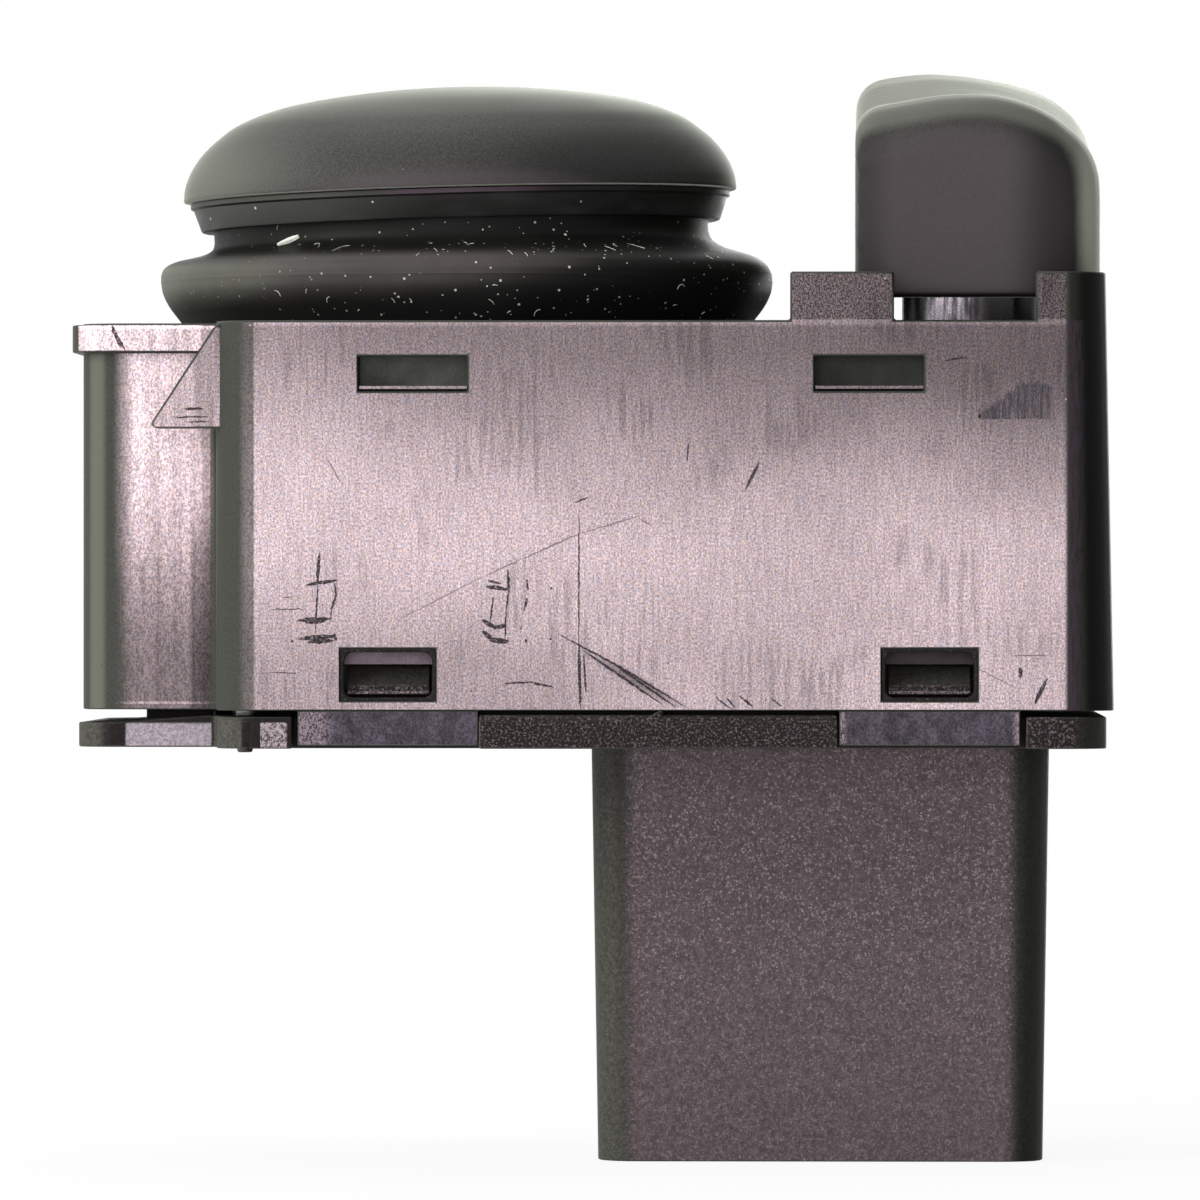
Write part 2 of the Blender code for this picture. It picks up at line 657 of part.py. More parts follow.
def terminals():
    """The connector's blades, one piece each."""
    tip = SHROUD_BOTTOM + TERMINAL_TIP_DEPTH
    half, narrow = TERMINAL_WIDTH / 2, TERMINAL_WIDTH / 4
    for number, (x, y) in enumerate(terminal_places(), 1):
        outline = [(x - half, BOARD_BOTTOM - GAP), (x - half, tip + TERMINAL_TIP_TAPER),
                   (x - narrow, tip), (x + narrow, tip), (x + half, tip + TERMINAL_TIP_TAPER),
                   (x + half, BOARD_BOTTOM - GAP)]
        thickness = TERMINAL_THICKNESS / 2
        part(f"terminal_{number}", prism(outline, y - thickness, y + thickness, axis="Y"),
             BRASS, 0.3, 1.0)


def terminal_carrier():
    """The block at the bottom of the socket that holds the blades in line."""
    high = SOCKET_TOP - GAP
    low = high - CARRIER_THICKNESS
    piece = part("terminal_carrier", shroud_body(SHROUD_WALL + GAP, low, high), CHARCOAL, 0.6)
    cut(piece, "slots", blocks(*terminal_slots(low - WALL, high + WALL)))


# Board, mat and plungers

def plunger_spots():
    """Name and place of each plunger, on a circle round the adjuster's axis."""
    for word, angle in (("right", 0.0), ("back", 90.0), ("left", 180.0), ("front", 270.0)):
        turn = math.radians(angle)
        yield word, PLUNGER_CIRCLE * math.cos(turn), PLUNGER_CIRCLE * math.sin(turn)


def board_stack():
    """Circuit board, its lamp, and the silicone mat with a dome under each plunger."""
    part("circuit_board", blocks(((BOARD_LEFT, BOARD_RIGHT), (-BOARD_HALF_DEPTH, BOARD_HALF_DEPTH),
                                  (BOARD_BOTTOM, BOARD_TOP))), (0.02, 0.12, 0.05), 0.5)
    length, depth, height = LAMP_SIZE
    low = BOARD_TOP + GAP
    part("lamp", blocks(((LAMP_X - length / 2, LAMP_X + length / 2), (-depth / 2, depth / 2),
                         (low, low + height))), (0.8, 0.75, 0.55), 0.3)
    half = MAT_SIDE / 2
    mat = part("contact_mat", blocks(((-half, half), (-half, half), (low, MAT_TOP))),
               (0.65, 0.66, 0.62), 0.7)
    join(mat, "domes", rods(*[((x, y), low + MAT_THICKNESS / 2, DOME_TOP)
                              for _, x, y in plunger_spots()], radius=DOME_RADIUS))


def plungers():
    """Four plungers that follow the swash plate, each at the height that the knob's lean gives it."""
    for word, x, y in plunger_spots():
        high = SWASH_BOTTOM - GAP + x * math.tan(KNOB_LEAN)
        part(f"plunger_{word}", rods(((x, y), high - PLUNGER_LENGTH, high), radius=PLUNGER_RADIUS),
             NATURAL, 0.45)


def plunger_guide():
    """A plate on four legs that guides the plungers."""
    half_x, half_y = GUIDE_LENGTH / 2, BOARD_HALF_DEPTH
    piece = part("plunger_guide", blocks(((-half_x, half_x), (-half_y, half_y),
                                          (GUIDE_BOTTOM, GUIDE_TOP))), NATURAL, 0.5)
    legs = []
    for x in (-half_x + FLUSH_STEP, half_x - GUIDE_LEG - FLUSH_STEP):
        for y in (-half_y + FLUSH_STEP, half_y - GUIDE_LEG - FLUSH_STEP):
            legs.append(((x, x + GUIDE_LEG), (y, y + GUIDE_LEG),
                         (BOARD_TOP + GAP, GUIDE_BOTTOM + GUIDE_THICKNESS / 2)))
    join(piece, "legs", blocks(*legs))
    cut(piece, "holes", rods(*[((x, y), GUIDE_BOTTOM - GUIDE_THICKNESS, GUIDE_TOP + GUIDE_THICKNESS)
                               for _, x, y in plunger_spots()], radius=PLUNGER_RADIUS + GAP))


# Adjuster

def dome(radius, height, steps=10):
    """A flattened dome's profile, from its top down to its widest place."""
    points = []
    for step in range(steps + 1):
        angle = math.pi / 2 * step / steps
        points.append((radius * math.sin(angle) ** (2 / CAP_ROUNDNESS),
                       CAP_WIDEST + height * max(math.cos(angle), 0.0) ** (2 / CAP_CROWN)))
    return points


def adjuster_cap():
    """The soft-touch dome that the finger tilts, hollow below."""
    outside = dome(CAP_RADIUS, CAP_TOP - CAP_WIDEST)
    inside = dome(CAP_RADIUS - CAP_WALL, CAP_TOP - CAP_WALL - CAP_WIDEST)
    hem = [(CAP_RADIUS - CAP_HEM, CAP_BOTTOM), (CAP_RADIUS - CAP_WALL, CAP_BOTTOM)]
    return turned("adjuster_cap", outside + hem + inside[::-1], CHARCOAL, 0.6, steps=40)


def adjuster_ring():
    """The carrier ring under the cap, with the hub that takes the stem."""
    spigot = CAP_RADIUS - CAP_WALL - GAP
    profile = [(0, RING_TOP + RING_SPIGOT_HEIGHT), (spigot, RING_TOP + RING_SPIGOT_HEIGHT),
               (spigot, RING_TOP), (RING_RADIUS, RING_TOP), (RING_RADIUS - RING_TAPER, RING_BOTTOM),
               (HUB_RADIUS, RING_BOTTOM), (HUB_RADIUS, HUB_BOTTOM), (0, HUB_BOTTOM)]
    piece = turned("adjuster_ring", profile, RUBBER, 0.35, steps=40)
    cut(piece, "stem_socket", rods(((0, 0), HUB_BOTTOM - GAP, HUB_BOTTOM + STEM_SOCKET_DEPTH),
                                   radius=STEM_RADIUS + GAP))
    return piece


def adjuster_stem():
    """The stem that passes through the gimbal ring."""
    high = HUB_BOTTOM + STEM_SOCKET_DEPTH - GAP
    low = SWASH_TOP - SWASH_SOCKET_DEPTH + GAP
    piece = part("adjuster_stem", rods(((0, 0), low, high), radius=STEM_RADIUS, segments=24),
                 NATURAL, 0.45)
    cut(piece, "cross_bore", rods(((0, PIVOT.z), -2 * STEM_RADIUS, 2 * STEM_RADIUS),
                                  radius=GIMBAL_PIN_RADIUS + GAP, axis="Y"))
    return piece


def swash_plate():
    """The plate on the stem's lower end that presses the plungers."""
    piece = part("swash_plate", rods(((0, 0), SWASH_BOTTOM, SWASH_TOP), radius=SWASH_RADIUS,
                                     segments=40), NATURAL, 0.45)
    cut(piece, "stem_socket", rods(((0, 0), SWASH_TOP - SWASH_SOCKET_DEPTH, SWASH_TOP + WALL),
                                   radius=STEM_RADIUS + GAP))
    return piece


def gimbal():
    """The middle ring of the two-axis pivot and its two pairs of pins."""
    low, high = PIVOT.z - GIMBAL_HEIGHT / 2, PIVOT.z + GIMBAL_HEIGHT / 2
    profile = [(GIMBAL_RADIUS, high), (GIMBAL_RADIUS, low), (GIMBAL_INNER_RADIUS, low),
               (GIMBAL_INNER_RADIUS, high)]
    ring = turned("gimbal_ring", profile, NATURAL, 0.4, steps=32, closed=True)
    reach = GIMBAL_RADIUS + GAP
    for axis in ("X", "Y"):
        cut(ring, f"pin_holes_{axis.lower()}", rods(
            ((0, PIVOT.z), -reach, reach), radius=GIMBAL_PIN_RADIUS + GAP, axis=axis))
    outer = BOSS_INNER + BOSS_LENGTH - GAP
    inner = GIMBAL_RADIUS - GIMBAL_PIN_SEAT
    start, end = STEM_RADIUS - GIMBAL_PIN_SEAT, GIMBAL_RADIUS - GAP
    for word, axis, low, high in (("right", "X", inner, outer), ("left", "X", -outer, -inner),
                                  ("back", "Y", start, end), ("front", "Y", -end, -start)):
        part(f"gimbal_pin_{word}", rods(((0, PIVOT.z), low, high), radius=GIMBAL_PIN_RADIUS,
                                        axis=axis, segments=16), STEEL, 0.3, 1.0)


def boot():
    """The rubber boot: a round roll on the deck that narrows to a neck under the ring."""
    foot = GAP
    outer = rounded([(BOOT_NECK_RADIUS, BOOT_TOP, 0),
                     (BOOT_NECK_RADIUS, BOOT_NECK_HEIGHT, BOOT_WALL / 2),
                     (BOOT_RADIUS, BOOT_SHOULDER_HEIGHT, BOOT_WALL),
                     (BOOT_RADIUS, BOOT_BELLY_HEIGHT, 2 * BOOT_WALL),
                     (BOOT_FOOT_RADIUS, foot, 0),
                     (BOOT_FOOT_RADIUS - BOOT_WALL, foot, 0),
                     (BOOT_RADIUS - BOOT_WALL, BOOT_BELLY_HEIGHT, BOOT_WALL),
                     (BOOT_RADIUS - BOOT_WALL, BOOT_SHOULDER_HEIGHT - BOOT_WALL * 0.7, BOOT_WALL / 3),
                     (BOOT_NECK_RADIUS - BOOT_WALL, BOOT_NECK_HEIGHT - BOOT_WALL * 0.7, BOOT_WALL / 2),
                     (BOOT_NECK_RADIUS - BOOT_WALL, BOOT_TOP, 0)], steps=3)
    turned("boot", outer, RUBBER, 0.4, steps=40, closed=True)


def adjuster():
    """What tilts with the knob, leaning a little as it rests."""
    tilt = pivot("adjuster_pivot", PIVOT, (0, -KNOB_LEAN, 0))
    for piece in (adjuster_cap(), adjuster_ring(), adjuster_stem(), swash_plate()):
        hang(piece, tilt)


# Selector

def selector_section():
    """The selector knob's section across its length: upright on the left, falling to the right."""
    left, right = SELECTOR_X - SELECTOR_WIDTH / 2, SELECTOR_X + SELECTOR_WIDTH / 2
    crest = left + SELECTOR_INNER_RADIUS * 2
    corners = [(left, SELECTOR_BOTTOM, 0), (right, SELECTOR_BOTTOM, 0),
               (right, SELECTOR_TOP - SELECTOR_SLOPE, SELECTOR_OUTER_RADIUS),
               (crest, SELECTOR_TOP + FLUSH_STEP, SELECTOR_CREST_RADIUS),
               (left, SELECTOR_TOP - GAP, SELECTOR_INNER_RADIUS)]
    return rounded(corners, steps=6)


def selector_drop(y):
    """How far the selector's top lies below its crest, at a distance y from its middle."""
    half = SELECTOR_LENGTH / 2
    crest = half - SELECTOR_END_ROUND
    if abs(y) > crest:
        share = (abs(y) - crest) / SELECTOR_END_ROUND
        return SELECTOR_END_DROP * (1 - math.sqrt(max(0.0, 1 - share * share)))
    return SELECTOR_DISH * (1 + math.cos(math.pi * y / crest)) / 2


def selector_cheek(y):
    """How far the selector's outer side stands back near its ends."""
    half = SELECTOR_LENGTH / 2
    share = max(0.0, abs(y) - (half - SELECTOR_END_ROUND)) / SELECTOR_END_ROUND
    return SELECTOR_CHEEK * (1 - math.sqrt(max(0.0, 1 - share * share)))


def selector_stations():
    """Where the sections stand along the selector, closer together round its ends."""
    half, crest = SELECTOR_LENGTH / 2, SELECTOR_LENGTH / 2 - SELECTOR_END_ROUND
    ends = [crest + SELECTOR_END_ROUND * math.sin(math.radians(angle)) for angle in (30, 50, 65, 78)]
    right = [crest * step / 4 for step in range(5)] + ends + [half]
    return [-y for y in right[:0:-1]] + right


def selector_shell():
    """The selector knob's outside, lofted through its sections."""
    section = selector_section()
    middle = (SELECTOR_BOTTOM + SELECTOR_TOP) / 2
    shape = bmesh.new()
    rings = []
    for y in selector_stations():
        ring = []
        for x, z in section:
            height = max(0.0, (z - middle) / (SELECTOR_TOP - middle))
            side = max(0.0, (x - SELECTOR_X) / (SELECTOR_WIDTH / 2))
            ring.append(shape.verts.new((x - selector_cheek(y) * side, y,
                                         z - selector_drop(y) * height)))
        rings.append(ring)
    for near, far in zip(rings, rings[1:]):
        for index, vertex in enumerate(near):
            shape.faces.new((near[index - 1], vertex, far[index], far[index - 1]))
    shape.faces.new(rings[0])
    shape.faces.new(rings[-1][::-1])
    bmesh.ops.recalc_face_normals(shape, faces=shape.faces)
    return round_off(finished(shape, "selector_knob"))


def selector_knob():
    """The see-saw knob, hollow below to take the drum's bar."""
    piece = part("selector_knob", selector_shell(), CHARCOAL, 0.6)
    half_x = SELECTOR_WIDTH / 2 - SELECTOR_WALL
    half_y = SELECTOR_LENGTH / 2 - SELECTOR_WALL
    cut(piece, "hollow", blocks(((SELECTOR_X - half_x, SELECTOR_X + half_x), (-half_y, half_y),
                                 (SELECTOR_BOTTOM - WALL, SELECTOR_CEILING))))
    return piece


def selector_drum():
    """The glossy carrier: a bar in the knob, a neck through the deck, the detent tube and the arm."""
    half_x, half_y = DRUM_WIDTH / 2, DRUM_DEPTH / 2
    left, right = DRUM_X - half_x, DRUM_X + half_x
    corners = [(left, -half_y, DRUM_CORNER), (right, -half_y, DRUM_CORNER),
               (right, half_y, DRUM_CORNER), (left, half_y, DRUM_CORNER)]
    skirt = SELECTOR_PIVOT.z - DRUM_SKIRT
    piece = part("selector_drum", prism(rounded(corners), skirt, DRUM_TOP), GLOSS_BLACK, 0.15)
    bar = SELECTOR_LENGTH / 2 - SELECTOR_WALL - GAP
    tube_x, tube_y = DETENT_TUBE_WIDTH / 2, DETENT_TUBE_DEPTH / 2
    join(piece, "bar_tube_and_arm", blocks(
        ((left + GAP, right - GAP), (-bar, bar), (DRUM_BAR_BOTTOM, DRUM_TOP - FLUSH_STEP)),
        ((DETENT_X - tube_x, DETENT_X + tube_x), (-tube_y, tube_y), (TUBE_BOTTOM, skirt + DRUM_SKIRT / 4)),
        ((ARM_X - ARM_WIDTH / 2, ARM_X + ARM_WIDTH / 2), (-ARM_DEPTH / 2, ARM_DEPTH / 2),
         (SELECTOR_PIVOT.z - ARM_REACH, skirt + DRUM_SKIRT / 4))))
    cut(piece, "pin_bore", rods(((0, SELECTOR_PIVOT.z), left - WALL, right + WALL),
                                radius=SELECTOR_PIN_RADIUS + GAP, axis="X"))
    cut(piece, "detent_bore", rods(
        ((DETENT_X, 0), TUBE_BOTTOM - WALL, SELECTOR_PIVOT.z - DETENT_BORE_TOP),
        radius=DETENT_RADIUS + GAP))
    return piece


def detent_plunger():
    """The round-nosed plunger that presses on the detent track."""
    tip = SELECTOR_PIVOT.z - DETENT_TIP
    nose = DETENT_RADIUS
    arc = [(nose * math.cos(math.radians(angle)), tip + nose - nose * math.sin(math.radians(angle)))
           for angle in (0, 30, 60)]
    profile = [(0, tip + DETENT_LENGTH), (DETENT_RADIUS, tip + DETENT_LENGTH), *arc, (0, tip)]
    piece = turned("detent_plunger", profile, NATURAL, 0.35, steps=16)
    piece.location.x = DETENT_X
    return piece


def detent_spring():
    """The coil that pushes the detent plunger out of its bore."""
    low = SELECTOR_PIVOT.z - DETENT_TIP + DETENT_LENGTH + GAP + SPRING_WIRE
    high = SELECTOR_PIVOT.z - DETENT_BORE_TOP - GAP - SPRING_WIRE
    curve = bpy.data.curves.new("detent_spring", "CURVE")
    curve.dimensions = "3D"
    curve.bevel_depth = SPRING_WIRE
    curve.bevel_resolution = 1
    curve.use_fill_caps = True
    spline = curve.splines.new("POLY")
    per_turn = 10
    count = SPRING_TURNS * per_turn
    spline.points.add(count)
    coil = DETENT_RADIUS - SPRING_WIRE
    for index, point in enumerate(spline.points):
        angle = 2 * math.pi * index / per_turn
        height = low + (high - low) * index / count
        point.co = (DETENT_X + coil * math.cos(angle), coil * math.sin(angle), height, 1)
    piece = bpy.data.objects.new("detent_spring", curve)
    curve.materials.append(material("detent_spring", STEEL, 0.3, 1.0))
    PARTS.objects.link(piece)
    return piece


def selector_pin():
    """The steel pin that the drum rocks on."""
    low, high = selector_pin_span()
    part("selector_pin", rods(((0, SELECTOR_PIVOT.z), low, high), radius=SELECTOR_PIN_RADIUS,
                              axis="X"), STEEL, 0.25, 1.0)


def detent_track():
    """The block whose hollow, round the selector's axis, has a notch for each position."""
    half_x, half_y = TRACK_WIDTH / 2, TRACK_DEPTH / 2
    piece = part("detent_track", blocks(
        ((DETENT_X - half_x, DETENT_X + half_x), (-half_y, half_y),
         (BOARD_TOP + GAP, SELECTOR_PIVOT.z - TRACK_TOP))), NATURAL, 0.4)
    ends = (DETENT_X - TRACK_WIDTH, DETENT_X + TRACK_WIDTH)
    cut(piece, "hollow", rods(((0, SELECTOR_PIVOT.z), *ends), radius=TRACK_RADIUS, axis="X",
                              segments=64))
    notches = [((TRACK_RADIUS * math.sin(turn), SELECTOR_PIVOT.z - TRACK_RADIUS * math.cos(turn)), *ends)
               for turn in (-SELECTOR_SWING, SELECTOR_SWING)]
    for word, notch in zip(("front", "back"), notches):
        cut(piece, f"notch_{word}", rods(notch, radius=DETENT_NOTCH_RADIUS, axis="X", segments=12))


def contact_slider():
    """The slider on the board that the drum's arm shifts, and the bridge under it."""
    low_y, high_y = SLIDER_SHIFT - SLIDER_DEPTH / 2, SLIDER_SHIFT + SLIDER_DEPTH / 2
    right = SLIDER_LEFT + SLIDER_WIDTH
    slider = part("contact_slider", blocks(((SLIDER_LEFT, right), (low_y, high_y),
                                            (SLIDER_BOTTOM, SLIDER_TOP))), NATURAL, 0.4)
    half_slot = ARM_DEPTH / 2 + GAP * 1.2
    cut(slider, "arm_slot", blocks(((SLIDER_LEFT - WALL, right + WALL),
                                    (SLIDER_SHIFT - half_slot, SLIDER_SHIFT + half_slot),
                                    (SLIDER_TOP - SLIDER_GRIP - SLIDER_SLOT_FLOOR, SLIDER_TOP + WALL))))
    low = BOARD_TOP + GAP
    part("contact_bridge", blocks(((SLIDER_LEFT + BRIDGE_MARGIN, right - BRIDGE_MARGIN),
                                   (low_y + BRIDGE_MARGIN, high_y - BRIDGE_MARGIN),
                                   (low, low + BRIDGE_THICKNESS))), (0.75, 0.40, 0.25), 0.3, 1.0)


def selector():
    """What rocks with the selector knob; its front end rests pressed down."""
    rocker = pivot("selector_pivot", SELECTOR_PIVOT, (SELECTOR_SWING, 0, 0))
    for piece in (selector_knob(), selector_drum(), detent_plunger(), detent_spring()):
        hang(piece, rocker)


case()
base()
terminal_carrier()
terminals()
board_stack()
plunger_guide()
plungers()
gimbal()
boot()
adjuster()
selector_pin()
detent_track()
contact_slider()
selector()
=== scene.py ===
# %% [markdown]
# # A door mirror switch
# This notebook dresses a switch for electric door mirrors: a deep moulded case, a tilting dome under a
# rubber boot, a see-saw selector beside it and a connector socket below. The engineering model already
# stands in the file as named nodes, each at its real place in metres. What follows gives every surface its
# finish, and builds again the pieces whose fine shape the plain model only sketches.

# %% Load the engineering model
import math
import random

import bmesh
import bpy
from mathutils import Matrix, Vector
from mathutils.geometry import interpolate_bezier


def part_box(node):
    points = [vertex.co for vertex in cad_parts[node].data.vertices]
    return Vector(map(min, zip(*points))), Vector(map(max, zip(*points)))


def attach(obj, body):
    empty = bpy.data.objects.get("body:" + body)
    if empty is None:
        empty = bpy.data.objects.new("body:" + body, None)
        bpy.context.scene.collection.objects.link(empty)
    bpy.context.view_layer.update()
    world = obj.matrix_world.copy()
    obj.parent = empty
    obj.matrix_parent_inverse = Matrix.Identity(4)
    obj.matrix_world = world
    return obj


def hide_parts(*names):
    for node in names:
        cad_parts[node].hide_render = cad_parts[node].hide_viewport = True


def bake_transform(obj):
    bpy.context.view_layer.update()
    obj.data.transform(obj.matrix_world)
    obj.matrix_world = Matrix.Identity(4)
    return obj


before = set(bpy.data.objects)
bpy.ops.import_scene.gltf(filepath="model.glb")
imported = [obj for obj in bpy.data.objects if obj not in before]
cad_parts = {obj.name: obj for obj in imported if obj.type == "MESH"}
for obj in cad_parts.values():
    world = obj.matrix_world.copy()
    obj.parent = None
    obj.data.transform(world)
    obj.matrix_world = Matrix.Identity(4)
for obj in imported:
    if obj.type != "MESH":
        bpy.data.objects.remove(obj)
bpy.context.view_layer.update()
scene = bpy.context.scene
MM = 0.001

# %% [markdown]
# ## The camera
# The photograph is a side view from about half a metre away. Its depth lines meet right of the middle, a
# little below the middle of the case, so the camera stands there and is turned a little to the left. A
# long lens from that distance gives the same slight perspective; shifting the lens would too, but a turned
# camera is simpler.

# %% Set up the camera
CAMERA_PLACE = Vector((20.52, -511.0, -13.61)) * MM
FRONT_WALL_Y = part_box("housing")[0].y
PICTURE_MIDDLE_X = 7.157 * MM
PICTURE_WIDTH = 58.32 * MM

distance = FRONT_WALL_Y - CAMERA_PLACE.y
camera_data = bpy.data.cameras.new("side_view")
camera_data.sensor_fit = "HORIZONTAL"
camera_data.sensor_width = 36
camera_data.lens = camera_data.sensor_width * distance / PICTURE_WIDTH
camera_data.clip_start = 0.01
camera = bpy.data.objects.new("side_view", camera_data)
camera.location = CAMERA_PLACE
turn = math.atan((CAMERA_PLACE.x - PICTURE_MIDDLE_X) / distance)
camera.rotation_euler = (math.radians(90), 0, turn)
scene.collection.objects.link(camera)
scene.camera = camera
print("lens in mm:", round(camera_data.lens, 1), "turned by degrees:", round(math.degrees(turn), 2))

# %% [markdown]
# ## The lamps
# The switch was photographed on a light table: white all round, more light from the left than from the
# right, and black plastic that falls off to black on its right sides. A large soft key lamp high on the
# left gives part of this; the finishes add the rest as painted shade on right-facing sides. A weaker lamp
# in front opens the walls, whose sheen the case's finish paints in, and one above and one behind draw the
# pale upper rims, which the finishes paint lighter too. Together they stay at a plain level, at which a
# colour comes out about as it is written.

# %% Make the lamps
CASE_MIDDLE = Vector((8, 0, -10)) * MM


def soft_lamp(name, place, side, power, colour):
    """A square lamp turned towards the middle of the case."""
    data = bpy.data.lights.new(name, "AREA")
    data.shape = "SQUARE"
    data.size = side
    data.energy = power
    data.color = colour
    lamp = bpy.data.objects.new(name, data)
    lamp.location = place
    lamp.rotation_euler = (CASE_MIDDLE - Vector(place)).to_track_quat("-Z", "Y").to_euler()
    lamp.visible_camera = False
    scene.collection.objects.link(lamp)


soft_lamp("key_lamp", (-0.42, -0.28, 0.20), 0.30, 2.3, (0.98, 1.0, 0.96))
soft_lamp("front_lamp", (-0.05, -0.62, 0.02), 0.30, 1.2, (1.0, 0.98, 0.99))
soft_lamp("top_lamp", (-0.06, 0.12, 0.48), 0.40, 1.5, (0.99, 1.0, 0.97))
soft_lamp("back_lamp", (0.10, 0.55, 0.12), 0.35, 1.3, (0.99, 1.0, 0.97))
print("lamps:", len(bpy.data.lights))

# %% [markdown]
# ## The white room and its floor
# The white behind the switch comes from the world, which shows itself white to the camera and in
# reflections, but lights the object only weakly. The floor does the same with a mix of glow and plain pale
# paint, so that it looks nearly white and still takes the object's shadow.

# %% Make the world and the floor
WORLD_FILL = 0.24
FLOOR_RADIUS = 0.32
FLOOR_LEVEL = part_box("base")[0].z - 0.05 * MM
FLOOR_GLOW = 0.92


def shown_white(tree):
    """One where the camera, a reflection or a see-through ray looks, nought for other light."""
    rays = tree.nodes.new("ShaderNodeLightPath")
    total = rays.outputs["Is Camera Ray"]
    for kind in ("Is Glossy Ray", "Is Transmission Ray"):
        both = tree.nodes.new("ShaderNodeMath")
        both.operation = "MAXIMUM"
        tree.links.new(total, both.inputs[0])
        tree.links.new(rays.outputs[kind], both.inputs[1])
        total = both.outputs[0]
    return total


world = bpy.data.worlds.new("white_room")
world.use_nodes = True
tree = world.node_tree
strength = tree.nodes.new("ShaderNodeMapRange")
strength.inputs["To Min"].default_value = WORLD_FILL
tree.links.new(shown_white(tree), strength.inputs["Value"])
tree.nodes["Background"].inputs["Color"].default_value = (1, 1, 1, 1)
tree.links.new(strength.outputs["Result"], tree.nodes["Background"].inputs["Strength"])
scene.world = world

shape = bmesh.new()
bmesh.ops.create_circle(shape, cap_ends=True, segments=96, radius=FLOOR_RADIUS,
                        matrix=Matrix.Translation((CASE_MIDDLE.x, 0, FLOOR_LEVEL)))
floor_mesh = bpy.data.meshes.new("floor")
shape.to_mesh(floor_mesh)
shape.free()
floor = bpy.data.objects.new("floor", floor_mesh)
scene.collection.objects.link(floor)
pale = bpy.data.materials.new("pale_floor")
pale.use_nodes = True
tree = pale.node_tree
paint = tree.nodes["Principled BSDF"]
paint.inputs["Base Color"].default_value = (0.92, 0.92, 0.92, 1)
paint.inputs["Roughness"].default_value = 0.9
paint.inputs["Specular IOR Level"].default_value = 0.0
share = tree.nodes.new("ShaderNodeMath")
share.operation = "MULTIPLY"
share.inputs[1].default_value = FLOOR_GLOW
tree.links.new(shown_white(tree), share.inputs[0])
mixed = tree.nodes.new("ShaderNodeMixShader")
tree.links.new(share.outputs[0], mixed.inputs["Fac"])
tree.links.new(paint.outputs[0], mixed.inputs[1])
tree.links.new(tree.nodes.new("ShaderNodeEmission").outputs[0], mixed.inputs[2])
tree.links.new(mixed.outputs[0], tree.nodes["Material Output"].inputs["Surface"])
floor_mesh.materials.append(pale)
scene.view_settings.view_transform = "Standard"
print("floor level in mm:", round(FLOOR_LEVEL / MM, 2))

# %% [markdown]
# ## A small kit for finishes
# A moulded surface is never one flat colour: it has grain, flow marks, dust and scratches, each of its own
# size. A finish here is one Principled shader fed by a chain of procedural textures on Object coordinates.
# Image textures could hold the same detail, but a procedure stays sharp at any distance and needs no
# unwrapping. The class below only saves typing: each method adds one step to the chain.

